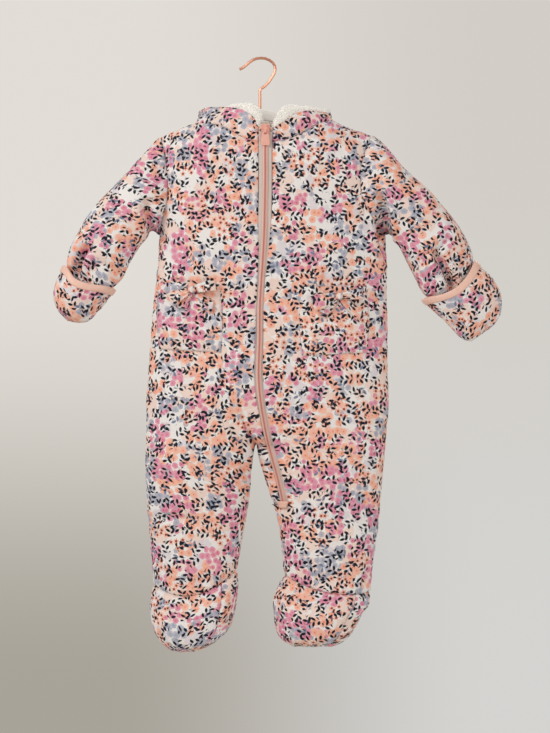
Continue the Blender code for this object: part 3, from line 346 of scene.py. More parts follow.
def make_sprig_group():
    """A curved stem with leaves down both sides, one to a cell of a turned brick net."""
    tree, given, end = new_group(
        "print sprig",
        {"Across": 0, "Down": 0, "Cell": 22, "Turn": 0, "Half": 7, "Keep": 0.8, "Seed": 0, "Loose": 4},
        {"Leaf": "Float", "Stem": "Float"},
    )
    gx, gy = turned(given["Across"], given["Down"], given["Turn"])
    gx = gx / given["Cell"] + given["Seed"] * SPRIG_SHIFT[0]
    gy = gy / given["Cell"] + given["Seed"] * SPRIG_SHIFT[1]
    column = gx.maths("FLOOR")
    gy = gy + column * BRICK_STEP
    row = gy.maths("FLOOR")
    white = tree.nodes.new("ShaderNodeTexWhiteNoise")
    white.noise_dimensions = "2D"
    tree.links.new(join_xy(tree, column + given["Seed"] * 13, row), white.inputs["Vector"])
    one, two, three = part_of(tree, white.outputs["Color"], "Color")
    x = (gx - column - 0.5) * given["Cell"] - (two - 0.5) * given["Loose"]
    y = (gy - row - 0.5) * given["Cell"] - (three - 0.5) * given["Loose"]
    stem_x, stem_y = turned(x, y, one * FULL_TURN)
    half = given["Half"] * (two * 0.6 + 0.55)
    bend = (three - 0.5) * STEM_BEND
    stem_y = stem_y - stem_x * stem_x * bend + bend * 12
    keep = Term(white.outputs["Value"]).maths("LESS_THAN", given["Keep"])
    length = stem_x.maths("ABSOLUTE")
    stem = stem_y.maths("ABSOLUTE").under(STEM_HALF_WIDE, 0.2) * length.under(half + 1.8, 0.4)
    # leaves down each side, those on one side part of the way between those on the other
    shifted = stem_x / LEAF_PITCH + stem_y.maths("SIGN") * 0.16
    near = (shifted - (shifted + 0.5).maths("FLOOR")) * LEAF_PITCH
    beside = stem_y.maths("ABSOLUTE") - LEAF_OUT
    leaf_x = (near * math.cos(LEAF_LEAN) + beside * math.sin(LEAF_LEAN)) / LEAF_HALF
    leaf_y = beside * math.cos(LEAF_LEAN) - near * math.sin(LEAF_LEAN)
    width = (leaf_x * leaf_x * -1 + 1).maths("MAXIMUM", 0).maths("POWER", 0.65) * LEAF_WIDE
    leaf = (leaf_y.maths("ABSOLUTE") - width).under(0.05, 0.25) * length.under(half, 0.2)
    put(end, Leaf=leaf * keep, Stem=stem * keep)


def make_print_group():
    """The whole flower print, over the cloth's own across and down in millimetres."""
    tree, given, end = new_group("flower print", {"Across": 0, "Down": 0}, {"Color": "Color"})
    here = {"Across": given["Across"], "Down": given["Down"]}
    spot = join_xy(tree, given["Across"], given["Down"])
    wash = noise(tree, spot, 3.0)
    colour = linear(0.965, 0.945, 0.935)
    stem = linear(0.44, 0.49, 0.57)
    # each flower's darker and paler wash, and its heart
    coral = ((0.99, 0.675, 0.56), (0.995, 0.815, 0.74), (0.88, 0.34, 0.24))
    berry = ((0.885, 0.49, 0.60), (0.935, 0.69, 0.765), (0.72, 0.28, 0.42))
    grey = ((0.655, 0.66, 0.73), (0.77, 0.775, 0.825), (0.44, 0.45, 0.56))
    star = ((0.98, 0.62, 0.52), (0.985, 0.79, 0.71), (0.30, 0.03, 0.05))
    peach_wash = ((0.975, 0.87, 0.82), (0.965, 0.845, 0.795))
    cool_wash = ((0.87, 0.855, 0.885), (0.93, 0.86, 0.875))
    blooms = (
        # spacing, radius, lobe, bed, reach, from, to, seed, plot, heart, colours, share
        (15, 7.9, 0.13, 24, 18, 0.00, 0.60, 1, 3, 0.0, (*peach_wash, None), 0.85),
        (13, 6.2, 0.14, 24, 16, 0.60, 0.90, 2, 3, 0.0, (*cool_wash, None), 0.7),
        (7.6, 3.6, 0.05, 21, 9, 0.50, 0.70, 3, 5, 0.5, grey, 0.85),
        (8.8, 4.5, 0.05, 21, 10, 0.00, 0.25, 4, 5, 0.6, coral, 0.9),
        (7.2, 3.5, 0.05, 21, 9, 0.25, 0.48, 5, 5, 0.5, berry, 0.9),
        (8.0, 3.9, 0.06, 25, 11.5, 0.53, 0.74, 6, 9, 0.5, grey, 0.93),
        (9.6, 4.9, 0.05, 25, 13, 0.00, 0.29, 7, 9, 0.7, coral, 0.95),
        (7.6, 3.8, 0.05, 25, 12, 0.29, 0.54, 8, 9, 0.5, berry, 0.95),
        (7.4, 2.9, 0.26, 25, 12, 0.74, 0.97, 9, 9, 1.3, star, 1.0),
    )
    for spacing, radius, lobe, bed, reach, low, high, seed, plot, heart, tones, strength in blooms:
        bloom = use_group(
            tree, "print bloom", **here, Spacing=spacing, Radius=radius, Lobe=lobe, Bed=bed,
            Reach=reach, From=low, To=high, Seed=seed, Plot=plot, Heart=heart,
        )
        dark, pale, middle = tones
        mixed = (wash - 0.5) * 0.9 + bloom["Chance"] * 0.35 + bloom["Edge"] * 0.5 + 0.02
        tint = blend_colour(tree, mixed.clamped(), linear(*dark), linear(*pale))
        colour = blend_colour(tree, bloom["Mask"] * strength, colour, tint)
        if middle:
            colour = blend_colour(tree, bloom["Middle"] * 0.85, colour, linear(*middle))
    sprigs = (
        # cell, turn, half the stem, keep, seed, loose, leaf colour
        (27, 1.9, 4.6, 0.45, 4, 8, (0.50, 0.54, 0.64)),
        (18.5, 0.4, 6.8, 0.95, 1, 5, (0.05, 0.07, 0.135)),
        (19.5, 1.3, 5.0, 0.85, 2, 7, (0.045, 0.06, 0.125)),
    )
    for cell, turn, half, keep, seed, loose, leaf in sprigs:
        sprig = use_group(
            tree, "print sprig", **here, Cell=cell, Turn=turn, Half=half, Keep=keep, Seed=seed, Loose=loose
        )
        colour = blend_colour(tree, sprig["Stem"] * 0.9, colour, stem)
        colour = blend_colour(tree, sprig["Leaf"], colour, linear(*leaf))
    tree.links.new(colour, end.inputs["Color"])


def make_weave_group():
    """Crossing threads and the slight crinkle of a light cloth, as a height."""
    tree, given, end = new_group(
        "woven surface", {"Across": 0, "Down": 0, "Pitch": 0.6, "Crinkle": 1.0}, {"Height": "Float"}
    )
    spot = join_xy(tree, given["Across"], given["Down"])
    warp, weft = (
        (given[way] / given["Pitch"] * FULL_TURN).maths("SINE") for way in ("Across", "Down")
    )
    crinkle = noise(tree, spot, 7.0, 3.0) * 2.2 + noise(tree, spot, 2.2, 2.0) * 0.5
    put(end, Height=warp * weft * 0.05 + crinkle * given["Crinkle"])


make_bloom_group()
make_sprig_group()
make_print_group()
make_weave_group()


class Finish:
    """A material in the making: its shader, and where its surface lies, in millimetres."""

    def __init__(self, name, colour, rough, sheen=0.0, sheen_rough=0.5, of_cloth=True):
        self.material = bpy.data.materials.new(name)
        self.material.use_nodes = True
        self.tree = self.material.node_tree
        self.sockets = self.tree.nodes["Principled BSDF"].inputs
        self.sockets["Base Color"].default_value = (*linear(*colour), 1)
        self.sockets["Roughness"].default_value = rough
        self.sockets["Sheen Weight"].default_value = sheen
        self.sockets["Sheen Roughness"].default_value = sheen_rough
        if of_cloth:
            # a cloth piece knows its places on the flat cloth, and the way to its nearest seam
            read = self.tree.nodes.new("ShaderNodeAttribute")
            read.attribute_name = "cloth_mm"
            self.across, self.down, self.seam = part_of(self.tree, read.outputs["Vector"])
        else:
            place = self.tree.nodes.new("ShaderNodeNewGeometry")
            x, _, z = part_of(self.tree, place.outputs["Position"])
            self.across, self.down = x * MM_IN_METRE, z * MM_IN_METRE

    def noise(self, size, detail=2.0, across=None, down=None):
        """Soft noise over the surface, or over a stretched copy of its places."""
        spot = join_xy(self.tree, across or self.across, down or self.down)
        return noise(self.tree, spot, size, detail)

    def group(self, name, **values):
        """A shader group over the flat cloth."""
        return use_group(self.tree, name, Across=self.across, Down=self.down, **values)

    def drive(self, label, term):
        """Lets a number or a colour of the nodes lead the shader."""
        self.tree.links.new(term.socket, self.sockets[label])

    def raise_by(self, height, depth_mm):
        """Lets a height push the light about."""
        bump = self.tree.nodes.new("ShaderNodeBump")
        bump.inputs["Distance"].default_value = depth_mm * MM
        self.tree.links.new(height.socket, bump.inputs["Height"])
        self.tree.links.new(bump.outputs["Normal"], self.sockets["Normal"])

    def tint(self, share, below, above):
        """Blends the surface's colour from one to another by a share."""
        mixed = blend_colour(self.tree, share, linear(*below), linear(*above))
        self.tree.links.new(mixed, self.sockets["Base Color"])

    def painted_glow(self, strength):
        """Painted light: a faint glow that brightens white pile, standing in for light passed from tuft to
        tuft many times.
        """
        self.sockets["Emission Color"].default_value = (*linear(*PAINTED_GLOW_COLOUR), 1)
        self.sockets["Emission Strength"].default_value = strength


MM_IN_METRE = 1000
# the colour of the painted glow that brightens white pile
PAINTED_GLOW_COLOUR = (0.95, 0.93, 0.90)

floral = Finish("floral shell", (0.9, 0.85, 0.83), 0.66, 0.05, 0.45)
floral.sockets["Specular IOR Level"].default_value = 0.3
floral.drive("Base Color", floral.group("flower print")["Color"])
floral.raise_by(floral.group("woven surface")["Height"], 0.22)

jersey = Finish("cream lining", (0.93, 0.90, 0.86), 0.85, 0.3)
jersey.raise_by(jersey.group("woven surface", Pitch=1.4, Crinkle=0.4)["Height"], 0.3)


# -------------------- front and back panels
# Each front runs from shoulder to ankle, and the right one carries on under the zip
# across the left leg. They are padded, sewn edge to edge, and lightly puckered there.
PADDED_WALL = 4.5
# levels down the suit, and where its middle seams run
UNDERARM = 212.0
CROTCH = 462.0
CROTCH_X = -5.0
VALLEY_TOP = 392.0
ZIP_END = 534.0
ZIP_HALF = 8.0
BACK_MIDDLE = 12.0
# how far the shoulder takes to round off, and how square a padded section is
SHOULDER_ROUND = 55.0
FULLNESS = 0.8
# rows and columns of points over a panel, and the length of a step down it
ARM_ROWS = 46
SHOULDER_COLS = 24
NECK_COLS = 44
COLS = SHOULDER_COLS + NECK_COLS
ZIP_COLS = 12
FINE_STEPS = 160
STEP = 2.6
TINY = 1e-6


def table(names, *rows):
    """Columns of a table, by name."""
    return {name: np.array(column, float) for name, column in zip(names.split(), zip(*rows))}


def along(rows, column, at):
    """Reads a column as a smooth curve over the table's first column."""
    key = next(iter(rows))
    x = rows[key]
    y = rows[column]
    slope = np.gradient(y, x)
    at = np.clip(np.asarray(at, float), x[0], x[-1])
    i = np.clip(np.searchsorted(x, at, side="right") - 1, 0, len(x) - 2)
    step = x[i + 1] - x[i]
    t = (at - x[i]) / step
    return (
        y[i] * (1 + 2 * t) * (1 - t) ** 2
        + y[i + 1] * t * t * (3 - 2 * t)
        + step * (slope[i] * t * (1 - t) ** 2 - slope[i + 1] * t * t * (1 - t))
    )


def value_at(rows, column, at):
    """One number off a table's smooth column."""
    return float(along(rows, column, at))


def smooth_step(t):
    """Runs from 0 to 1 without a corner."""
    t = np.clip(t, 0, 1)
    return t * t * (3 - 2 * t)


SIDE = {
    "right": table(
        "down x",
        (60, -122), (212, -122), (241, -122.5), (301, -129.5), (349, -132.5), (409, -136),
        (469, -138), (529, -137), (589, -131), (640, -127.5),
    ),
    "left": table(
        "down x",
        (60, 152), (212, 152), (277, 152.5), (325, 153.5), (385, 154), (421, 154),
        (457, 151.5), (493, 148), (565, 141), (625, 134), (640, 132.5),
    ),
}
ARMHOLE = {
    "right": table(
        "down x", (92, -120), (112, -115), (131, -111.5), (166, -110.5), (192, -116), (212, -122),
    ),
    "left": table(
        "down x", (90, 134), (108, 127), (140, 120), (163, 121.5), (186, 131), (212, 152),
    ),
}
INSEAM = {
    "right": table(
        "down x", (462, -5), (485, -9), (529, -13), (577, -21), (611, -26.5), (640, -29),
    ),
    "left": table(
        "down x", (462, -5), (485, -0.5), (505, 6), (541, 18), (583, 25), (613, 28), (640, 30),
    ),
}
VALLEY = table("down x", (60, -26), (330, -25), (392, -22), (440, -18), (455, -10), (462, -5))
ZIP = table(
    "down x", (60, 6.8), (90, 6.6), (160, 6.4), (210, 5.3), (240, 3.8), (270, 1.7), (300, 0.2),
    (330, 0), (390, -0.8), (412, 1.4), (434, 4.9), (456, 9), (478, 14.6), (499, 20.5), (534, 28.3),
)
DEPTH = {
    "front": table(
        "down y", (60, 38), (150, 40), (240, 41), (330, 39), (400, 41), (462, 38), (529, 35),
        (589, 33), (640, 31),
    ),
    "back": table(
        "down y", (60, 25), (150, 26), (220, 27), (300, 32), (400, 36), (462, 36), (529, 34),
        (589, 32), (640, 31),
    ),
}
SHOULDER = {
    "right": table("x down", (-120, 92), (-99, 83.5), (-78, 75.6)),
    "left": table("x down", (88, 71.5), (102, 78.5), (118, 84.5), (134, 90)),
}
NECK = {
    "front": table(
        "x down", (-78, 75.6), (-47, 80), (-29, 88.8), (-15.6, 96.6), (-1, 99.6), (15, 99.6),
        (33, 96.5), (50, 89), (70, 77), (88, 71.5),
    ),
    "back": table("x down", (-78, 75.6), (-30, 78), (12, 78.5), (50, 76), (88, 71.5)),
}
NECK_POINT = {"right": -78.0, "left": 88.0}
NECK_STAND = {"front": 30.0, "back": 18.0}
ANKLE = {
    ("right", "front"): (629.0, 640.0, 611.0),
    ("right", "back"): (629.0, 624.0, 611.0),
    ("left", "front"): (638.0, 637.0, 618.0),
    ("left", "back"): (638.0, 628.0, 618.0),
}


def legs_share(down):
    """0 where the trunk is one round form, and 1 at the crotch, where the legs part."""
    return np.clip((down - VALLEY_TOP) / (CROTCH - VALLEY_TOP), 0, 1)


def bulge(x, low, high):
    """Height of a full round section between two x, 0 at its ends and 1 on top."""
    t = np.clip((x - (low + high) / 2) / ((high - low) / 2), -1, 1)
    return (1 - t * t) ** (FULLNESS / 2)


def top_edge(x, face):
    """down of the panel's top edge at x: the shoulder seam or the neck seam."""
    top = along(NECK[face], "down", x)
    top = np.where(x < NECK_POINT["right"], along(SHOULDER["right"], "down", x), top)
    return np.where(x > NECK_POINT["left"], along(SHOULDER["left"], "down", x), top)


def body_y(x, down, face):
    """The body's outer face: y at x and down, on the front or the back."""
    x, down = np.broadcast_arrays(np.asarray(x, float), np.asarray(down, float))
    sides = [along(SIDE[s], "x", down) for s in ("right", "left")]
    trunk = bulge(x, sides[0], sides[1])
    if face == "front":
        middle = np.where(down < CROTCH, along(VALLEY, "x", down), CROTCH_X)
    else:
        middle = BACK_MIDDLE + (CROTCH_X - BACK_MIDDLE) * legs_share(down)
    inner = [
        np.where(down < CROTCH, middle, along(INSEAM[s], "x", down)) for s in ("right", "left")
    ]
    on_right = x <= (inner[0] + inner[1]) / 2
    legs = np.where(on_right, bulge(x, sides[0], inner[0]), bulge(x, inner[1], sides[1]))
    rise = np.clip((CROTCH - down) / (CROTCH - VALLEY_TOP), 0, 1)
    share = np.sqrt(1 - (1 - rise) ** 2)
    full = along(DEPTH[face], "y", down) * (share * trunk + (1 - share) * legs)
    top = top_edge(x, face)
    reach = np.where(
        x < BACK_MIDDLE, BACK_MIDDLE - NECK_POINT["right"], NECK_POINT["left"] - BACK_MIDDLE
    )
    beside = np.clip(np.abs(x - BACK_MIDDLE) / reach, 0, 1)
    stand = NECK_STAND[face] * np.sqrt(1 - beside**2)
    fall = np.clip((down - top) / SHOULDER_ROUND, 0, 1)
    y = stand + (full - stand) * np.sqrt(1 - (1 - fall) ** 2)
    return -y if face == "front" else y


def body_point(x, down, face):
    """A point of the body's outer face."""
    x, down = np.broadcast_arrays(np.asarray(x, float), np.asarray(down, float))
    return np.stack([x, body_y(x, down, face), -down], -1)


def spread(count, end_angle):
    """Fractions from 0 to 1, set closer where the section turns its edge."""
    turn = np.linspace(0, 1, count + 1) * end_angle
    return (1 - np.cos(turn)) / (1 - math.cos(end_angle))


def run_of(points):
    """The way along a line of points, from its first."""
    return np.concatenate([[0], np.cumsum(np.linalg.norm(np.diff(points, axis=0), axis=1))])


def even_share(low, high, down, face, turn, cols):
    """Fractions from one x to another that lie evenly along the cloth."""
    trial = spread(FINE_STEPS, turn)
    down = down(trial) if callable(down) else down
    length = run_of(body_point(low + (high - low) * trial, down, face))
    return np.interp(np.linspace(0, length[-1], cols + 1), length, trial)


def level_row(low, high, level, face, turn, cols):
    """x and down of a level row of the panel, from one x to another."""
    share = even_share(low, high, level, face, turn, cols)
    return low + (high - low) * share, np.full(cols + 1, level)


def middle_x(side, face, down):
    """x of the inner edge of a panel's main columns."""
    if down >= CROTCH and not (side == "left" and face == "front"):
        return value_at(INSEAM[side], "x", down)
    if face == "back":
        return BACK_MIDDLE + (CROTCH_X - BACK_MIDDLE) * float(legs_share(down))
    if side == "right":
        return value_at(VALLEY, "x", down)
    return value_at(ZIP, "x", down) + ZIP_HALF


def levels(start, end):
    """Even steps down the cloth, without the first."""
    return np.linspace(start, end, max(2, round((end - start) / STEP)) + 1)[1:]


def trunk_rows(side, face, cols):
    """x and down of the rows from the shoulder to the crotch, side seam first."""
    edge = float(ARMHOLE[side]["x"][0])
    middle = middle_x(side, face, 90)
    top_x = np.concatenate(
        [
            np.linspace(edge, NECK_POINT[side], SHOULDER_COLS + 1)[:-1],
            np.linspace(NECK_POINT[side], middle, cols - SHOULDER_COLS + 1),
        ]
    )
    top_down = top_edge(top_x, face)
    top_share = (top_x - edge) / (middle - edge)
    low, high = value_at(SIDE[side], "x", UNDERARM), middle_x(side, face, UNDERARM)
    even = even_share(low, high, UNDERARM, face, math.pi / 2, cols)
    rows = []
    for i in range(ARM_ROWS + 1):
        t = (i / ARM_ROWS) ** 1.2
        down = top_down + (UNDERARM - top_down) * t
        outer = value_at(ARMHOLE[side], "x", down[0])
        share = top_share + (even - top_share) * t
        inner = middle + (middle_x(side, face, down[-1]) - middle) * t
        rows.append((outer + (inner - outer) * share, down))
    for level in levels(UNDERARM, CROTCH):
        fall = 0 if (side, face) == ("left", "front") else float(legs_share(level))
        outer, inner = value_at(SIDE[side], "x", level), middle_x(side, face, level)
        rows.append(level_row(outer, inner, level, face, math.pi / 2 * (1 + fall), cols))
    return rows


def leg_rows(side, face, cols, start):
    """x and down of the rows of a leg, from a level down to the ankle seam."""
    at_side, at_middle, at_inseam = ANKLE[side, face]
    thigh = levels(start, ZIP_END) if start < ZIP_END else []
    shin = np.linspace(0, 1, round((at_side - ZIP_END) / STEP) + 1)[1:]
    rows = []
    for level in thigh:
        low, high = (value_at(seam[side], "x", level) for seam in (SIDE, INSEAM))
        rows.append(level_row(low, high, level, face, math.pi, cols))
    for t in shin:
        def down_at(share):
            ankle = at_side + (at_inseam - at_side) * share
            ankle = ankle + (at_middle - (at_side + at_inseam) / 2) * 4 * share * (1 - share)
            return ZIP_END + (ankle - ZIP_END) * t

        level = ZIP_END + (at_side - ZIP_END) * t
        low, high = (value_at(seam[side], "x", level) for seam in (SIDE, INSEAM))
        share = even_share(low, high, down_at, face, math.pi, cols)
        down = down_at(share)
        low, high = (along(seam[side], "x", down) for seam in (SIDE, INSEAM))
        rows.append((low + (high - low) * share, down))
    return rows


CREASES = {
    # x and down of both ends and of a point between, depth, half width
    "front": table(
        "x0 d0 x1 d1 x2 d2 deep wide",
        # the right underarm, shoulder and wrist
        (-133, 168, -131, 191, -121, 221, 12, 6),
        (-120, 180, -116, 200, -118, 232, 4, 6),
        (-152, 137, -129, 141, -112, 146, 4, 6),
        (-148, 214, -166, 196, -186, 190, 2.5, 8),
        (-203, 226, -214, 237, -219, 262, 14, 5),
        (-207, 238, -204, 245, -205, 252, -3, 6),
        (-219, 246, -222, 258, -216, 272, 5, 4),
        (-168, 262, -182, 250, -200, 244, 3, 6),
        (-176, 176, -184, 186, -196, 190, 2.5, 7),
        # the left underarm, elbow and wrist
        (141, 160, 147, 196, 154, 238, 15, 6.5),
        (149, 176, 154, 202, 158, 230, 6, 3.6),
        (155, 162, 158, 196, 159, 224, -3, 4.5),
        (120, 182, 130, 196, 136, 214, 3, 6),
        (126, 93, 134, 100, 144, 108, -2.5, 6),
        (168, 146, 184, 158, 196, 178, 2.5, 8),
        (206, 229, 215, 245, 232, 275, 15, 4.6),
        (224, 258, 228, 270, 234, 283, 7, 4),
        (206, 233, 216, 223, 227, 213, 6.5, 4.2),
        (206, 266, 214, 260, 223, 255, 6, 4),
        (180, 252, 192, 240, 204, 236, 3, 6),
        (190, 196, 206, 202, 222, 204, 2.5, 7),
        # the knees, the crotch and the ankles
        (-134, 553, -104, 549, -66, 555, 4.5, 5),
        (-128, 561, -110, 563, -92, 562, 1.5, 5),
        (-58, 398, -42, 420, -22, 446, 3, 7),
        (-36, 446, -26, 456, -12, 464, 3, 5),
        (-112, 622, -84, 628, -52, 618, 2, 6),
        (128, 600, 126, 620, 124, 640, 2.6, 4),
        (60, 562, 84, 556, 112, 562, 1.8, 8),
        (54, 478, 70, 470, 92, 472, 1.6, 8),
        (46, 616, 70, 624, 98, 622, 2, 6),
        # drag lines over the chest and from the bows
        (79, 254, 78, 264, 80, 277, 3, 4),
        (-84, 256, -82, 262, -80, 272, 2, 4),
        (-106, 262, -94, 268, -84, 270, 2, 4),
        (-96, 118, -70, 134, -50, 156, 1.4, 10),
        (104, 112, 84, 128, 60, 150, 1.4, 10),
        (-122, 380, -92, 392, -60, 394, 1.5, 9),
        (130, 392, 100, 404, 66, 402, 1.5, 9),
    ),
    "back": table(
        "x0 d0 x1 d1 x2 d2 deep wide",
        (-132, 176, -127, 200, -122, 224, 6, 6),
        (150, 166, 154, 192, 156, 228, 6, 6),
        (-150, 140, -128, 146, -110, 158, 2.5, 7),
        (168, 146, 150, 150, 132, 160, 2.5, 7),
        (-190, 196, -172, 210, -152, 216, 3, 7),
        (200, 198, 184, 212, 172, 220, 3, 7),
        (-214, 238, -200, 248, -178, 254, 3, 6),
        (234, 246, 218, 252, 200, 262, 3, 6),
        (-70, 250, -30, 262, 8, 256, 1.8, 10),
        (96, 262, 60, 272, 20, 264, 1.8, 10),
        (-60, 426, -40, 440, -14, 456, 3.5, 7),
        (52, 424, 30, 440, 4, 457, 3.5, 7),
        (-126, 552, -92, 560, -40, 552, 3.5, 6),
        (38, 556, 80, 562, 132, 552, 3.5, 6),
        (-120, 572, -90, 577, -50, 571, 2, 6),
        (46, 576, 80, 580, 124, 572, 2, 6),
    ),
}
CREASE_STEPS = 24
CREASE_REACH = 3.5
CREASE_RIDGE = 0.22
POCKETS_X = (-83, 88)
POCKETS_DOWN = 312
POCKETS_HALF = (40, 44)
POCKETS_FADE = 10


def crease_depth(x, down, face):
    """How far the creases press the cloth in, with a low ridge beside each."""
    total = np.zeros(x.shape)
    t = np.linspace(0, 1, CREASE_STEPS + 1)
    for *bends, deep, wide in zip(*CREASES[face].values()):
        near = np.ones(x.shape, bool)
        line = []
        # the line bends from its first point through its middle one to its last
        for place, (first, middle, last) in ((x, bends[::2]), (down, bends[1::2])):
            reach = CREASE_REACH * wide
            near &= place > min(first, middle, last) - reach
            near &= place < max(first, middle, last) + reach
            swing = 4 * middle - first - last
            line.append(first * (1 - t) ** 2 + swing * t * (1 - t) + last * t * t)
        if not near.any():
            continue
        off = np.hypot(x[near][:, None] - line[0], down[near][:, None] - line[1])
        best = off.argmin(axis=1)
        off = off[np.arange(len(off)), best]
        fade = (4 * t[best] * (1 - t[best])) ** 0.6
        ridge = CREASE_RIDGE * np.exp(-(((off - 2 * wide) / wide) ** 2))
        total[near] += deep * fade * (np.exp(-((off / wide) ** 2)) - ridge)
    return total


def under_pocket(x, down):
    """1 where a pocket is sewn over the front, and 0 a finger's width away from it."""
    beside = np.minimum(*(np.abs(x - middle) for middle in POCKETS_X)) - POCKETS_HALF[0]
    over = np.abs(down - POCKETS_DOWN) - POCKETS_HALF[1]
    return 1 - smooth_step(np.maximum(beside, over) / POCKETS_FADE)


HILLS = 96


def ripple(u, v, size, seed):
    """Smooth hills and hollows of a given size over the cloth, from -1 to 1."""
    values = np.random.default_rng(seed).uniform(-1, 1, (HILLS + 1, HILLS + 1))
    gu, gv = (np.asarray(u) / size) % HILLS, (np.asarray(v) / size) % HILLS
    iu, iv = gu.astype(int), gv.astype(int)
    fu, fv = gu - iu, gv - iv
    fu, fv = (f * f * (3 - 2 * f) for f in (fu, fv))
    upper = values[iu, iv] * (1 - fu) + values[iu + 1, iv] * fu
    lower = values[iu, iv + 1] * (1 - fu) + values[iu + 1, iv + 1] * fu
    return upper * (1 - fv) + lower * fv


def unit(ways):
    """Directions of length 1."""
    return ways / np.maximum(np.linalg.norm(ways, axis=-1, keepdims=True), TINY)


def facing(points, quads):
    """The outward way of each quad, as long as twice its area."""
    a, b, c, d = (points[quads[:, k]] for k in range(4))
    return np.cross(c - a, d - b)


def new_piece(name, points, faces, places, *finishes):
    """A smooth mesh of the scene, whose points know their places on the flat cloth."""
    mesh = bpy.data.meshes.new(name)
    mesh.from_pydata((points.reshape(-1, 3) * MM).tolist(), [], faces)
    mark = mesh.attributes.new("cloth_mm", "FLOAT_VECTOR", "POINT")
    mark.data.foreach_set("vector", places.astype(np.float32).ravel())
    mesh.shade_smooth()
    for finish in finishes:
        mesh.materials.append(finish.material)
    return put_in_scene(name, mesh)


# each piece is cut from its own stretch of the printed cloth
PRINT_SHIFT = (211.0, 97.0)
# the hollow of the crotch, where the cloth stretches
STRETCH_DOWN = 448.0
STRETCH_HALF = (52, 85)
# how a piece is laid flat: rounds of small moves, none of them too long
FLATTEN_ROUNDS = 160
FLATTEN_HASTE = 1.6
NEAREST = 0.3
LONGEST_PULL = 1.5
# a point's distance from its piece's edge, until that is measured
FAR = 99.0
# a seam pulls the padding in, and its thread puckers the cloth beside it
SEAM_BACK = 0.15
SEAM_DIP = 1.9
SEAM_REACH = 3.2
PUCKER_FROM = 1.4
PUCKER_REACH = 8.0
PUCKER_RISE = 0.55
# the least share of padding and puckers along a bound edge
CALMEST = 0.15
# the padding's hills, how wide and how high, and how far a pocket presses them flat
PADDING_HILLS = ((41, 1.3), (17, 0.5))
POCKET_PRESS = 0.85
# a crease fades out towards the sides, over this depth of a tube or a panel
TUBE_SIDE = 8
PANEL_SIDE = 12
LEAST_CREASE = 0.15


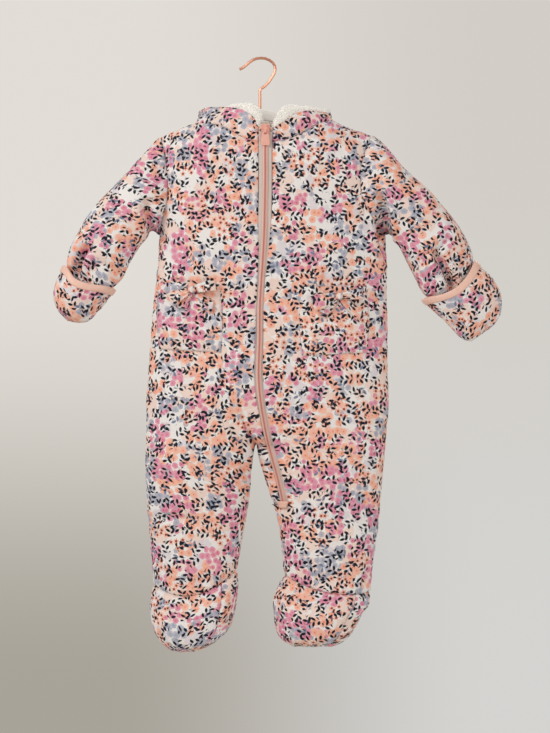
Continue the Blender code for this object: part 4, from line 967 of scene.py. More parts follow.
class Cloth:
    """One cut piece: grids of points on its outer face, joined where they meet."""

    def __init__(self, name, face=None, inside=None, flip=False, seed=0):
        self.name = name
        self.face = face
        self.inside = inside
        self.flip = flip
        self.seed = seed
        self.points = []
        self.places = []
        self.quads = []
        self.found = {}
        self.nets = []

    def length(self, a, b):
        """Lengths on the flat cloth, which stretches over the hollow of the crotch."""
        gap = b - a
        if self.face in ("front", "back"):
            x, down = (a[..., 0] + b[..., 0]) / 2, -(a[..., 2] + b[..., 2]) / 2
            away = np.hypot((x - CROTCH_X) / STRETCH_HALF[0], (down - STRETCH_DOWN) / STRETCH_HALF[1])
            gap = gap * np.stack([away**0, smooth_step(away * 1.6 - 0.6), away**0], -1)
        return np.linalg.norm(gap, axis=-1)

    @staticmethod
    def spot_key(point, beyond_seam=False):
        """What two points share when they are one."""
        return (*(round(number, 2) for number in point), beyond_seam)

    def grid(self, rows, first=None, hung_at=None, level_at=0, tube=False):
        """Adds a net of quads over rows of points, and first guesses of their places.

        A panel that hangs keeps the print level, and upright at one of its columns.
        Any other piece is measured from one of its rows and from its middle column.
        A tube is cut open at its seam, where its first and last columns meet.
        """
        rows = np.array(rows, float)
        steps = self.length(rows[:, :-1], rows[:, 1:])
        if hung_at is None:
            onward = unit(np.gradient(rows, axis=0))
            onward = (onward[:, 1:] + onward[:, :-1]) / 2
            beside = np.diff(rows, axis=1)
            beside -= np.sum(beside * onward, axis=2, keepdims=True) * onward
            steps = np.linalg.norm(beside, axis=2)
            column = rows.shape[1] // 2
        else:
            column = hung_at
        across = np.concatenate([np.zeros((len(rows), 1)), np.cumsum(steps, axis=1)], axis=1)
        across -= across[:, [column]]
        if hung_at is None:
            drop = np.linalg.norm(np.diff(rows, axis=0), axis=2)
            down = np.concatenate([np.zeros((1, rows.shape[1])), np.cumsum(drop, axis=0)])
            down += down[level_at, column] - down[level_at]
        else:
            across = rows[:, [column], 0] + across * np.sign(rows[-1, -1, 0] - rows[-1, 0, 0])
            down = -rows[..., 2]
            start = self.found.get(self.spot_key(np.round(rows[0, column], 3)))
            if start is not None:
                across += self.places[start][0] - across[0, column]
        numbers = np.empty(rows.shape[:2], int)
        for i, row in enumerate(np.round(rows, 3)):
            for j, point in enumerate(row):
                key = self.spot_key(point, tube and j == rows.shape[1] - 1)
                if key not in self.found:
                    self.found[key] = len(self.points)
                    self.points.append(rows[i, j])
                    self.places.append((across[i, j], down[i, j], 0))
                numbers[i, j] = self.found[key]
        a, b = numbers[:-1, :-1].ravel(), numbers[1:, :-1].ravel()
        c, d = numbers[1:, 1:].ravel(), numbers[:-1, 1:].ravel()
        quads = np.stack([a, b, c, d], 1)
        if first is not None:
            row_of = np.repeat(np.arange(len(rows) - 1), rows.shape[1] - 1)
            need = np.tile(np.maximum(first[:-1], first[1:]), len(rows) - 1)
            quads = quads[row_of >= need]
        self.quads.extend(quads[(quads[:, 0] != quads[:, 1]) | (quads[:, 2] != quads[:, 3])])
        self.nets.append(numbers)

    def settle(self):
        """Works out the outward directions, the rim, and each point's way to it."""
        self.points = np.array(self.points)
        self.places = np.array(self.places)
        self.quads = np.array(self.quads)
        total = np.zeros_like(self.points)
        ways = facing(self.points, self.quads)
        for k in range(4):
            np.add.at(total, self.quads[:, k], ways)
        if self.inside is not None:
            self.flip = np.sum(total * (self.points - np.array(self.inside, float))) < 0
        self.normals = unit(-total if self.flip else total)
        edges = np.concatenate([self.quads[:, [k, (k + 1) % 4]] for k in range(4)])
        edges = edges[edges[:, 0] != edges[:, 1]]
        there = {(p, q) for p, q in edges.tolist()}
        self.rim = [(p, q) for p, q in there if (q, p) not in there]
        onward = {}
        for p, q in sorted(self.rim):
            onward.setdefault(p, []).append(q)
        self.round_rim = {}
        length = 0.0
        for start in sorted(onward):
            at = start
            while onward.get(at):
                following = onward[at].pop()
                self.round_rim.setdefault(at, length)
                length += np.linalg.norm(self.points[following] - self.points[at])
                at = following
        tree = kdtree.KDTree(len(self.round_rim))
        for n in self.round_rim:
            tree.insert(self.points[n], n)
        tree.balance()
        self.used = np.unique(self.quads)
        self.from_rim = np.full(len(self.points), FAR)
        self.rim_at = np.zeros(len(self.points))
        for n in self.used:
            _, nearest, self.from_rim[n] = tree.find(self.points[n])
            self.rim_at[n] = self.round_rim[nearest]

    def unroll(self, column):
        """Opens the piece flat with the least stretch, upright at one of its columns."""
        mesh = bpy.data.meshes.new("pattern")
        faces = [list(dict.fromkeys(f)) for f in self.quads.tolist()]
        mesh.from_pydata(self.outer.tolist(), [], faces)
        mesh.uv_layers.new(name="flat")
        pattern = put_in_scene("pattern", mesh)
        bpy.ops.object.select_all(action="DESELECT")
        pattern.select_set(True)
        bpy.context.view_layer.objects.active = pattern
        bpy.ops.object.mode_set(mode="EDIT")
        bpy.ops.mesh.select_all(action="SELECT")
        bpy.ops.uv.unwrap(method="MINIMUM_STRETCH", margin=0)
        bpy.ops.object.mode_set(mode="OBJECT")
        corners = np.empty(2 * len(mesh.loops))
        mesh.uv_layers[0].uv.foreach_get("vector", corners)
        numbers = np.empty(len(mesh.loops), int)
        mesh.loops.foreach_get("vertex_index", numbers)
        flat = np.zeros((len(self.points), 2))
        flat[numbers] = corners.reshape(-1, 2)
        bpy.data.objects.remove(pattern)
        bpy.data.meshes.remove(mesh)
        true_area = np.linalg.norm(facing(self.outer, self.quads), axis=1).sum()
        crossed = facing(np.pad(flat, ((0, 0), (0, 1))), self.quads)[:, 2]
        flat *= math.sqrt(true_area / np.abs(crossed).sum())
        net = self.nets[0]
        onward = flat[net[-1, column]] - flat[net[0, column]]
        onward /= np.linalg.norm(onward)
        aside = np.array([-onward[1], onward[0]]) * (-1 if crossed.sum() < 0 else 1)
        flat -= flat[net[0, column]]
        self.places[:, 0] = flat @ aside
        self.places[:, 1] = flat @ onward

    def flatten(self):
        """Spreads the places until they lie as far apart as the outer face's points."""
        sides = ((0, 1), (1, 2), (2, 3), (3, 0), (0, 2), (1, 3))
        pairs = np.concatenate([self.quads[:, side] for side in sides])
        pairs = np.unique(np.sort(pairs, axis=1), axis=0)
        p, q = pairs[pairs[:, 0] != pairs[:, 1]].T
        want = self.length(self.outer[p], self.outer[q])
        total = len(self.points)
        share = FLATTEN_HASTE / np.maximum(np.bincount(np.concatenate([p, q]), minlength=total), 1)
        for _ in range(FLATTEN_ROUNDS):
            gap = self.places[p, :2] - self.places[q, :2]
            off = np.linalg.norm(gap, axis=1)
            pull = gap * ((want - off) / np.maximum(off, NEAREST) / 2)[:, None]
            pull = np.clip(pull, -LONGEST_PULL, LONGEST_PULL)
            for k in (0, 1):
                move = np.bincount(p, pull[:, k], total) - np.bincount(q, pull[:, k], total)
                self.places[:, k] += move * share

    def shape(self, wall, pucker, puff, dip, calm=0):
        """Moves the outer face out and in: padding, seams, puckers and creases."""
        off = self.from_rim
        away = 1 - np.exp(-off / SEAM_REACH)
        u, v = self.places[:, 0], self.places[:, 1]
        hills = enumerate(PADDING_HILLS)
        soft = sum(ripple(u, v, size, self.seed + k) * rise for k, (size, rise) in hills)
        # fine and coarse puckers along the seam, of uneven pitch
        s = self.rim_at
        gather = (
            np.sin(s / 1.9 + 2 * np.sin(s / 23)) * 0.5
            + np.sin(s / 3.1 + 1.7 * np.sin(s / 31) + self.seed)
            + ripple(s, s * 0 + self.seed, 9, 5) * 0.9
        )
        gather = gather * (1 - np.exp(-off / PUCKER_FROM)) * np.exp(-off / PUCKER_REACH) * PUCKER_RISE
        if calm:
            soft, gather = (part * np.clip(v / calm, CALMEST, 1) for part in (soft, gather))
        if self.face == "front":
            soft = soft * (1 - POCKET_PRESS * under_pocket(self.points[:, 0], -self.points[:, 2]))
        lift = -dip * np.exp(-off / SEAM_REACH) + soft * puff * away + gather * pucker
        crease = np.zeros(len(u))
        if self.face:
            x, down = self.points[:, 0], -self.points[:, 2]
            from_side = np.abs(self.points[:, 1])
            if self.face == "both":
                front, back = (crease_depth(x, down, face) for face in ("front", "back"))
                crease = np.where(self.points[:, 1] < 0, front, back)
                crease = crease * np.clip(from_side / TUBE_SIDE, 0, 1)
            else:
                crease = crease_depth(x, down, self.face)
                crease = crease * np.clip(from_side / PANEL_SIDE, LEAST_CREASE, 1)
        self.outer = self.points + self.normals * (lift - crease)[:, None]
        self.inner = self.points - self.normals * (crease + wall)[:, None]

    def draw_back(self):
        """Keeps the piece's edge a hair short of the seam."""
        centre = np.zeros_like(self.points)
        count = np.zeros(len(self.points))
        middles = self.points[self.quads].mean(axis=1)
        for k in range(4):
            np.add.at(centre, self.quads[:, k], middles)
            np.add.at(count, self.quads[:, k], 1)
        for n in self.round_rim:
            inward = centre[n] / count[n] - self.points[n]
            inward -= self.normals[n] * np.dot(inward, self.normals[n])
            shift = inward / max(np.linalg.norm(inward), TINY) * SEAM_BACK
            self.outer[n] += shift
            self.inner[n] += shift

    def make(self, *finishes):
        """The closed mesh of the piece: outer face, inner face and edge."""
        total = len(self.points)
        order = [3, 2, 1, 0] if self.flip else [0, 1, 2, 3]
        outer = self.quads[:, order]
        inner = outer[:, ::-1] + total
        faces = [list(dict.fromkeys(f)) for f in outer.tolist()]
        faces += [list(dict.fromkeys(f)) for f in inner.tolist()]
        marks = [0] * len(outer) + [min(1, len(finishes) - 1)] * len(inner)
        for p, q in self.rim:
            p, q = (q, p) if self.flip else (p, q)
            faces.append([q, p, p + total, q + total])
            marks.append(0)
        keep = np.zeros(2 * total, bool)
        for f in faces:
            keep[f] = True
        renumber = np.cumsum(keep) - 1
        points = np.concatenate([self.outer, self.inner])[keep]
        faces = [renumber[f].tolist() for f in faces]
        places = self.places.copy()
        places[:, :2] += np.array(PRINT_SHIFT) * self.seed
        places[:, 2] = self.from_rim
        places = np.concatenate([places, places])[keep]
        piece = new_piece(self.name, points, faces, places, *finishes)
        piece.data.polygons.foreach_set("material_index", marks)
        return piece


def share_seams(cloths):
    """Gives pieces that are sewn together one common direction along their seams."""
    together = {}
    for cloth in cloths:
        cloth.settle()
        for n in cloth.round_rim:
            together.setdefault(tuple(np.round(cloth.points[n], 1)), []).append((cloth, n))
    for group in together.values():
        total = sum(cloth.normals[n] for cloth, n in group)
        for cloth, n in group:
            cloth.normals[n] = total / max(np.linalg.norm(total), TINY)


# the narrowest strip that counts as a sheet, and how far a cut may be from its full rectangle
NARROWEST = 10.2
FULLEST = 0.96
EMPTIEST = 0.4


def hang(cloth, node, slot_, *finishes, pieces=()):
    """Makes a cloth's mesh, which rides on the suit in place of its plain solid."""
    piece = cloth.make(*finishes)
    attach(piece, "suit")
    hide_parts(node)
    area = np.linalg.norm(facing(cloth.points, cloth.quads), axis=1).sum() / 2
    wide, long = (max(NARROWEST, np.ptp(cloth.places[cloth.used, k])) for k in (0, 1))
    long = max(long, area / wide / FULLEST)
    wide = min(wide, area / long / EMPTIEST)


def points_of(rows, face):
    """Rows of x and down as points of the body."""
    return [body_point(x, down, face) for x, down in rows]


# the padded pieces by their nodes, and their edges that other pieces are sewn to
SEWN = {}
EDGES = {}
INSIDE_TRUNK = (12, 0, -320)

front_right = SEWN["front_right"] = Cloth("floral_front_right", "front", INSIDE_TRUNK, seed=1)
rows = trunk_rows("right", "front", COLS)
beside_zip = []
for x, down in rows:
    zip_edge = value_at(ZIP, "x", down[-1]) - ZIP_HALF
    if not beside_zip:
        extra_x = np.linspace(x[-1], zip_edge, ZIP_COLS + 1)[1:]
        first_down = top_edge(extra_x, "front")
    extra_x = x[-1] + (zip_edge - x[-1]) * np.linspace(0, 1, ZIP_COLS + 1)[1:]
    t = np.clip((down[-1] - rows[0][1][-1]) / (UNDERARM - rows[0][1][-1]), 0, 1)
    extra_down = down[-1] + (first_down - rows[0][1][-1]) * (1 - t)
    beside_zip.append((np.concatenate([x, extra_x]), np.concatenate([down, extra_down])))
trunk = points_of(beside_zip, "front")
front_right.grid(trunk, hung_at=-1)
leg = points_of([rows[-1]] + leg_rows("right", "front", COLS, CROTCH), "front")
leg[0] = trunk[-1][: COLS + 1]
front_right.grid(leg, hung_at=-1)
strip = [trunk[-1][COLS:]]
for down in levels(CROTCH, ZIP_END):
    low = value_at(INSEAM["left"], "x", down)
    high = value_at(ZIP, "x", down) - ZIP_HALF
    x = low + (high - low) * spread(ZIP_COLS, math.pi / 2)
    strip.append(body_point(x, np.full(ZIP_COLS + 1, down), "front"))
front_right.grid(strip, hung_at=-1)
EDGES["right", "front"] = (trunk, leg[-1])

# the section of the left thigh as far as the zip
BESIDE_ZIP_TURN = math.pi * 0.675
front_left = SEWN["front_left"] = Cloth("floral_front_left", "front", INSIDE_TRUNK, seed=2)
rows = trunk_rows("left", "front", COLS)
for level in levels(CROTCH, ZIP_END):
    outer, inner = value_at(SIDE["left"], "x", level), middle_x("left", "front", level)
    rows.append(level_row(outer, inner, level, "front", BESIDE_ZIP_TURN, COLS))
trunk = points_of(rows, "front")
front_left.grid(trunk, hung_at=-1)
WIDE = COLS + ZIP_COLS + 1
low = value_at(INSEAM["left"], "x", ZIP_END)
high = value_at(ZIP, "x", ZIP_END) - ZIP_HALF
below_strip = low + (high - low) * spread(ZIP_COLS, math.pi / 2)[::-1]
below = body_point(below_strip, np.full(ZIP_COLS + 1, ZIP_END), "front")
leg = points_of(leg_rows("left", "front", WIDE, ZIP_END), "front")
leg.insert(0, np.concatenate([trunk[-1], below]))
front_left.grid(leg, hung_at=COLS)
EDGES["left", "front"] = (trunk, leg[-1])
trunk_top_left = trunk[0][-1]

for side, seed in (("right", 3), ("left", 4)):
    panel = SEWN["back_" + side] = Cloth("floral_back_" + side, "back", INSIDE_TRUNK, seed=seed)
    cols = COLS if side == "right" else WIDE
    points = points_of(trunk_rows(side, "back", cols) + leg_rows(side, "back", cols, CROTCH), "back")
    panel.grid(points, hung_at=-1)
    EDGES[side, "back"] = (points, points[-1])


# -------------------- sleeves
# Each sleeve is one padded tube, sewn into the armhole, that narrows to the wrist
# and pushes into the mitten. The hollows at the underarm and wrist are pressed in.
SLEEVE_ROWS = 76
ARMHOLE_REACH = 2.2
SLEEVE = {
    "right": table(
        "at top_x top_down low_x low_down front back",
        (0, -120, 92, -122, 212, 24, 19),
        (1, -141, 116, -124, 211, 32, 25),
        (2, -166, 143, -130, 208, 34, 27),
        (3, -192, 169, -137.5, 218, 34, 28),
        (4, -212.5, 196, -148, 234, 33, 27),
        (5, -227, 222, -156.5, 249, 31, 26),
        (6, -231.5, 240, -164, 264, 28, 24.6),
        (7, -228.5, 255, -179.3, 277.2, 24, 21.7),
        (8, -229, 267, -190, 284, 20, 18.5),
    ),
    "left": table(
        "at top_x top_down low_x low_down front back",
        (0, 134, 90, 152, 212, 24, 19),
        (1, 152, 105, 155, 212, 32, 25),
        (2, 176.5, 133, 158.5, 215, 34, 27),
        (3, 204, 158.5, 165.5, 224.5, 34, 28),
        (4, 227, 185, 175, 243.5, 33, 27),
        (5, 244, 211, 186, 265, 31, 26),
        (6, 254.5, 234, 196.5, 283, 28, 24),
        (7, 255, 251.5, 206, 287.5, 24, 21.3),
        (8, 261.5, 264, 217, 296.5, 20, 18.5),
    ),
}


def section(low, high, turn, stand):
    """Points of a full round section from one edge to the other."""
    turn = np.asarray(turn, float)[:, None]
    middle = (np.array(low) + np.array(high)) / 2
    half = (np.array(low) - np.array(high)) / 2
    out = np.abs(np.sin(turn)) ** FULLNESS * stand
    return middle + half * np.cos(turn) + out * np.array([0, 1, 0])


def columns_at(data, at):
    """A row read between a table's rows, as plain numbers."""
    return [value_at(data, column, at) for column in list(data)[1:]]


for side, seed in (("right", 5), ("left", 6)):
    front = np.array([row[0] for row in EDGES[side, "front"][0][: ARM_ROWS + 1]])
    back = np.array([row[0] for row in EDGES[side, "back"][0][: ARM_ROWS + 1]])
    armhole = np.concatenate([front[::-1], back[1:]])
    turn = np.arccos(1 - 2 * (front[:, 2] - front[0, 2]) / (front[-1, 2] - front[0, 2]))
    rings = []
    for at in np.linspace(0, SLEEVE[side]["at"][-1], SLEEVE_ROWS + 1):
        top_x, top_down, low_x, low_down, stand_front, stand_back = columns_at(SLEEVE[side], at)
        top, low = (top_x, 0, -top_down), (low_x, 0, -low_down)
        front_half = section(top, low, turn, -stand_front)[::-1]
        ring = np.concatenate([front_half, section(top, low, turn, stand_back)[1:]])
        if not rings:
            away = armhole - ring
        rings.append(ring + away * max(0, 1 - at / ARMHOLE_REACH) ** 2)
    tube = SEWN["sleeve_" + side] = Cloth(
        "floral_sleeve_" + side, "both", rings[SLEEVE_ROWS // 2].mean(axis=0), seed=seed
    )
    tube.grid(rings, level_at=-1, tube=True)


# -------------------- mittens
# A fold-over mitten is two padded leaves sewn round the tip. The front leaf's open
# edge is bound in peach satin and stands away from the sleeve.
MITTEN_WALL = 3.6
MITTEN_COLS = 44
MITTEN_ROWS = 34
MITTEN = {
    "right": table(
        "at out_x out_down in_x in_down front back",
        (0, -239, 254.5, -175, 279.5, 30, 25.5),
        (1, -245.5, 269, -182, 288, 29.5, 25.5),
        (2, -248.5, 281, -190, 298.5, 27, 24),
        (3, -246.5, 294, -199, 309, 23, 22),
        (4, -240, 305.5, -207.5, 314.5, 15.5, 17),
        (5, -231.5, 314.5, -217, 317, 0, 0),
    ),
    "left": table(
        "at out_x out_down in_x in_down front back",
        (0, 263, 246, 198, 293, 30, 25.5),
        (1, 277, 260.5, 212, 306, 29.5, 25.5),
        (2, 287, 277, 225.5, 319, 27, 24),
        (3, 290, 293, 235, 330, 23, 22),
        (4, 286, 311, 246, 338, 15.5, 17),
        (5, 277, 323, 254, 339, 0, 0),
    ),
}
# how far the front leaf's open edge sags towards the tip, from its outer end
MOUTH_SAG = {
    "right": table(
        "across sag", (0, -7), (0.08, -6), (0.14, -3.5), (0.27, 2), (0.46, 4), (0.64, 2),
        (0.88, -3), (1, -4),
    ),
    "left": table(
        "across sag", (0, -5), (0.16, 0), (0.35, 4), (0.54, 5.5), (0.75, 3), (0.93, -2.5), (1, -4),
    ),
}
MOUTH_SOFT = 0.35
MM_TO_TIP = 125.0
BEYOND_MOUTH = 0.1


def read_points(at, keys, points):
    """Points read off a line of points, between their keys."""
    return np.stack([np.interp(at, keys, points[:, k]) for k in range(3)], -1)


for side, seed in (("right", 7), ("left", 9)):
    turn = np.linspace(0, math.pi, MITTEN_COLS + 1)
    sag = along(MOUTH_SAG[side], "sag", (1 - np.cos(turn)) / 2) / MM_TO_TIP
    for face, sign in (("front", -1), ("back", 1)):
        rings = []
        fine = np.linspace(0, 1, 4 * MITTEN_ROWS + 1)
        for t in fine:
            row = columns_at(MITTEN[side], MITTEN[side]["at"][-1] * math.sin(t * math.pi / 2))
            out_x, out_down, in_x, in_down, stand_front, stand_back = row
            stand = max(stand_front if face == "front" else stand_back, 0)
            rings.append(section((out_x, 0, -out_down), (in_x, 0, -in_down), turn, sign * stand))
        net = np.array([rings[0] + (rings[0] - rings[4]) / fine[4] * BEYOND_MOUTH, *rings])
        at = np.linspace(0, 1, MITTEN_ROWS + 1)[:, None] + turn * 0
        if face == "front":
            at = at + sag * np.clip(1 - at / MOUTH_SOFT, 0, 1) ** 2
        rings = np.empty((*at.shape, 3))
        for j in range(len(turn)):
            rings[:, j] = read_points(at[:, j], [-BEYOND_MOUTH, *fine], net[:, j])
        inside = rings[MITTEN_ROWS // 2].mean(axis=0) * (1, 0, 1)
        leaf = SEWN["mitten_" + face + "_" + side] = Cloth(
            "floral_mitten_" + face + "_" + side, None, inside, seed=seed + (face == "back")
        )
        leaf.grid(rings)


# -------------------- feet
# Each foot has a top piece and a side piece that runs round the heel, sewn
# to the ankle and closed along the toe.
FOOT_ROWS = 36
FOOT = {
    "right": table(
        "at a_x a_down b_x b_down front back mid",
        (0, -128, 629, -26.5, 611, 31, 31, 0),
        (1, -131.5, 649, -26, 635, 39, 33, -1),
        (2, -130, 669.5, -30, 661, 44, 31, -3),
        (3, -125, 687.5, -37, 683, 42, 26, -6),
        (4, -115, 701, -54, 698.5, 31, 17, -10),
        (5, -101, 710.5, -78, 711, 0, 0, -13),
    ),
    "left": table(
        "at a_x a_down b_x b_down front back mid",
        (0, 28.5, 618, 132.5, 638, 31, 31, 0),
        (1, 17, 640, 131, 654, 39, 33, -1),
        (2, 15.5, 661, 122.5, 664, 44, 31, -3),
        (3, 18.5, 681.5, 114, 680, 42, 26, -6),
        (4, 26.5, 696, 103, 694, 31, 17, -10),
        (5, 43, 704.5, 84, 704.5, 0, 0, -13),
    ),
}
VAMP_SHARE = {"right": 0.72, "left": 0.74}
for side, seed in (("right", 11), ("left", 13)):
    front, back = EDGES[side, "front"][1], EDGES[side, "back"][1]
    if side == "left":
        front, back = front[::-1], back[::-1]
    turns = []
    for edge in (front, back):
        reach = (edge[:, 0] - edge[0, 0]) / (edge[-1, 0] - edge[0, 0])
        turns.append(np.arccos(np.clip(1 - 2 * reach, -1, 1)))
    rings = []
    for t in np.linspace(0, 1, FOOT_ROWS + 1):
        row = columns_at(FOOT[side], FOOT[side]["at"][-1] * math.sin(t * math.pi / 2))
        a_x, a_down, b_x, b_down, stand_front, stand_back, mid = row
        a, b = (a_x, mid, -a_down), (b_x, mid, -b_down)
        ring = [
            section(a, b, turns[0], -max(stand_front, 0)),
            section(a, b, turns[1], max(stand_back, 0)),
        ]
        if not rings:
            away = [front - ring[0], back - ring[1]]
        rings.append([ring[k] + away[k] * (1 - t) ** 2 for k in (0, 1)])
    centre = np.concatenate(rings[FOOT_ROWS // 2]).mean(axis=0)
    split = int(np.argmin(np.abs(turns[0] / math.pi - VAMP_SHARE[side])))
    top_piece = SEWN["foot_top_" + side] = Cloth("floral_foot_top_" + side, None, centre, seed=seed)
    top_piece.grid([ring[0][: split + 1] for ring in rings])
    side_piece = SEWN["foot_side_" + side] = Cloth(
        "floral_foot_side_" + side, None, centre, seed=seed + 1
    )
    side_piece.grid([np.concatenate([ring[0][split:], ring[1][-2::-1]]) for ring in rings])


# -------------------- hood
# The hood hangs down the back from the neck seam and turns over at its edge
# like a collar. It is sewn in two halves along its middle.
HOOD_ROWS = 76
HOOD = {
    "right": table(
        "at x y down sag lift",
        (0, -2.5, -31, 84, 0, 0),
        (0.15, -7, -29, 72.6, 0, 0),
        (0.3, -19.6, -23, 62.8, 0, 0),
        (0.42, -36, -13, 57.6, 0, 1),
        (0.53, -65, 10, 56, 0, 2),
        (0.62, -76, 40, 60, 4, 4),
        (0.73, -70, 60, 66, 45, 8),
        (0.86, -36, 64, 70, 90, 8),
        (1, 12, 65, 71, 105, 8),
    ),
    "left": table(
        "at x y down sag lift",
        (0, 16, -31, 84.5, 0, 0),
        (0.15, 27, -29, 77, 0, 0),
        (0.3, 42, -23, 67, 0, 0),
        (0.42, 58, -13, 61.5, 0, 1),
        (0.53, 78, 9, 61.5, 0, 1),
        (0.62, 88, 38, 63.5, 4, 4),
        (0.73, 82, 60, 67, 45, 7),
        (0.86, 56, 64, 70, 90, 8),
        (1, 12, 65, 71, 105, 8),
    ),
}
HOOD_NEAR_Y = 29.5
HOOD_SAG_FULL = 60.0


def hood_curve(side, at, neck, v):
    """The hood's outer face over one place of the neck seam, from the seam to its edge."""
    x, y, down, sag, lift = columns_at(HOOD[side], at)
    rim = np.array([x, y, -down])
    behind = min(sag / HOOD_SAG_FULL, 1)
    near = np.clip((HOOD_NEAR_Y - neck[1]) / max(rim[1] - neck[1], 1), 0, 1)
    # at the back the cloth runs straight down first, and turns up late to its edge
    at_back = smooth_step((v - 0.4) / 0.36)
    folded = near * smooth_step(v / 0.22) + (1 - near) * at_back
    run = v + (folded - v) * behind
    arch = np.sin(np.pi * np.clip(v / (0.5 + 0.5 * (1 - behind)), 0, 1)) * lift
    below_seam = np.clip((v - 0.14) / 0.86, 0, 1)
    drop = sag * np.sin(np.pi * below_seam) ** 0.75
    point = neck + (rim - neck) * run[:, None]
    point[:, 2] += arch - drop
    return point


def hood_stations(side):
    """The neck seam's points from the zip round to the middle of the back, with their places."""
    front = EDGES[side, "front"][0][0][SHOULDER_COLS : COLS + 1][::-1]
    if side == "right":
        front = np.array(EDGES[side, "front"][0][0][SHOULDER_COLS:])[::-1]
    back = EDGES[side, "back"][0][0][SHOULDER_COLS:]
    neck = np.concatenate([front, back[1:]])
    at = np.concatenate([np.linspace(0, 0.5, len(front)), np.linspace(0.5, 1, len(back))[1:]])
    return neck, at


for side, seed in (("right", 15), ("left", 16)):
    neck, stations = hood_stations(side)
    v = np.linspace(0, 1, HOOD_ROWS + 1)
    curves = np.array([hood_curve(side, at, point, v) for at, point in zip(stations, neck)])
    half = SEWN["hood_" + side] = Cloth("floral_hood_" + side, None, None, side == "left", seed)
    half.grid(np.swapaxes(curves, 0, 1))

share_seams(SEWN.values())

# the fronts' folded edges, one thin layer, lie over the tapes lower down
ZIP_COVER = {
    "right": table(
        "down over", (99, 0), (185, 0.2), (217, 1.6), (250, 3), (400, 3.1), (434, 4.2), (534, 4.4),
    ),
    "left": table(
        "down over", (99, 0), (185, 0.2), (217, 1.6), (250, 3), (400, 3), (434, 2.6), (534, 2.6),
    ),
}
FOLD_FROM = 9.0
FOLD_LIFT = 1.6
FOLD_CLOTH = 0.8
FOLD_WIDE = 5
THIN_WIDE = 3


def fold_over_zip(cloth, side):
    """Lays a front's edge over the zip's tape, and thins it there."""
    x, down = cloth.points[:, 0], -cloth.points[:, 2]
    sign = 1 if side == "right" else -1
    from_edge = np.maximum(sign * (along(ZIP, "x", down) - x) - ZIP_HALF, 0)
    beside = (from_edge < FOLD_FROM) & (down < ZIP_END + 0.5)
    cover = np.where(beside, along(ZIP_COVER[side], "over", down), 0)
    shift = sign * cover * np.clip(1 - from_edge / FOLD_FROM, 0, 1) ** 2
    rise = body_y(x + shift, down, "front") - body_y(x, down, "front")
    fold = np.clip(cover / 3, 0, 1) * np.clip(1 - from_edge / FOLD_WIDE, 0, 1)
    thin = (smooth_step(cover / 2) * np.clip(1 - from_edge / THIN_WIDE, 0, 1))[:, None]
    cloth.outer += cloth.normals * (fold * FOLD_LIFT)[:, None]
    cloth.inner += (cloth.outer - cloth.normals * FOLD_CLOTH - cloth.inner) * thin
    for layer in (cloth.outer, cloth.inner):
        layer[:, 0] += shift
        layer[:, 1] += rise


# how each padded piece is finished: wall, pucker, puff, dip at its seams, calm edge
USUAL_SEWING = (PADDED_WALL, 1.0, 1.0, SEAM_DIP, 0)
SEWING = {
    "mitten": (MITTEN_WALL, 0.9, 0.7, 1.0, 9),
    "foot": (PADDED_WALL, 1.5, 0.9, 2.2, 0),
    "hood": (PADDED_WALL, 0.6, 0.6, 1.2, 0),
}
for node, cloth in SEWN.items():
    wall, pucker, puff, dip, calm = SEWING.get(node.split("_")[0], USUAL_SEWING)
    cloth.shape(wall, pucker, puff, dip, calm if node.startswith("mitten_front") else 0)
    if node.startswith("hood"):
        cloth.unroll(-1)
    cloth.flatten()
    if node.startswith("front"):
        fold_over_zip(cloth, node.split("_")[1])
    cloth.draw_back()
    hang(cloth, node, "floral", floral, jersey)


# -------------------- plush in the hood
# The hood is lined with long cream plush, which rolls out past the printed edge.
# Its pile is drawn as tapered tufts over a soft, lumpy ground.
PLUSH_WALL = 3.4
LINING_GAP = 0.9
UNDER_EDGE = 5.4
ROLL_ROWS = 12
# where along the hood's rows, counted as 14 in all, the lining starts to show
LINING_ROWS = 14
LINING_FROM = {
    "right": table("at row", (0, 2), (0.4, 2), (0.5, 7), (0.6, 8), (0.7, 12), (1, 12)),
    "left": table("at row", (0, 2), (0.38, 2), (0.46, 8), (0.53, 10), (0.62, 11), (1, 12)),
}
ROLL_REACH = {
    "right": table(
        "at reach", (0, 2), (0.1, 7), (0.2, 11), (0.3, 14.5), (0.36, 14.5), (0.41, 7), (0.46, 1.5),
        (0.7, 1), (1, 1),
    ),
    "left": table(
        "at reach", (0, 2), (0.1, 8), (0.2, 12), (0.3, 14.5), (0.42, 12), (0.5, 6), (0.56, 1.5),
        (0.7, 1), (1, 1),
    ),
}
ROLL_SECTION = table(
    # share of the reach, height under the printed face, thickness
    "share under thick",
    (0, 5.4, 3.4), (0.12, 1.6, 7.4), (0.25, 0.3, 9.0), (0.5, -0.2, 9.2), (0.75, 0.6, 7.6),
    (0.92, 2.0, 4.8), (1, 3.6, 1.6),
)

plush = Finish("cream plush", (0.94, 0.92, 0.895), 0.95, 0.3, 0.6)
# painted light: a faint glow brightens the plush ground
plush.painted_glow(0.14)
plush.raise_by(plush.noise(2.2, 4) + plush.noise(7) * 1.6, 1.4)
plush.tint(plush.noise(5, 3), (0.985, 0.975, 0.96), (0.93, 0.91, 0.885))

# a tuft is paler towards its tip
pile_fur = Finish("plush tufts", (0.965, 0.95, 0.93), 0.9, 0.2)
# painted light: a stronger glow brightens the tufts where they shade one another
pile_fur.painted_glow(0.24)
pile_fur.tint((pile_fur.seam / 5).clamped(), (0.93, 0.91, 0.88), (0.99, 0.985, 0.975))

TUFTS = 13000
TUFT_LENGTH = 3.6
TUFT_ROOT = 0.6
# the pile thins out away from the lining's edge, and lies over that edge
PILE_FADE = 9
PILE_DEEPEST = 30
PILE_OVER = 6
# how much tufts lean by chance and together, and how much they hang
LEAN_APART = 0.75
LEAN_TOGETHER = 0.5
HANG = 0.15
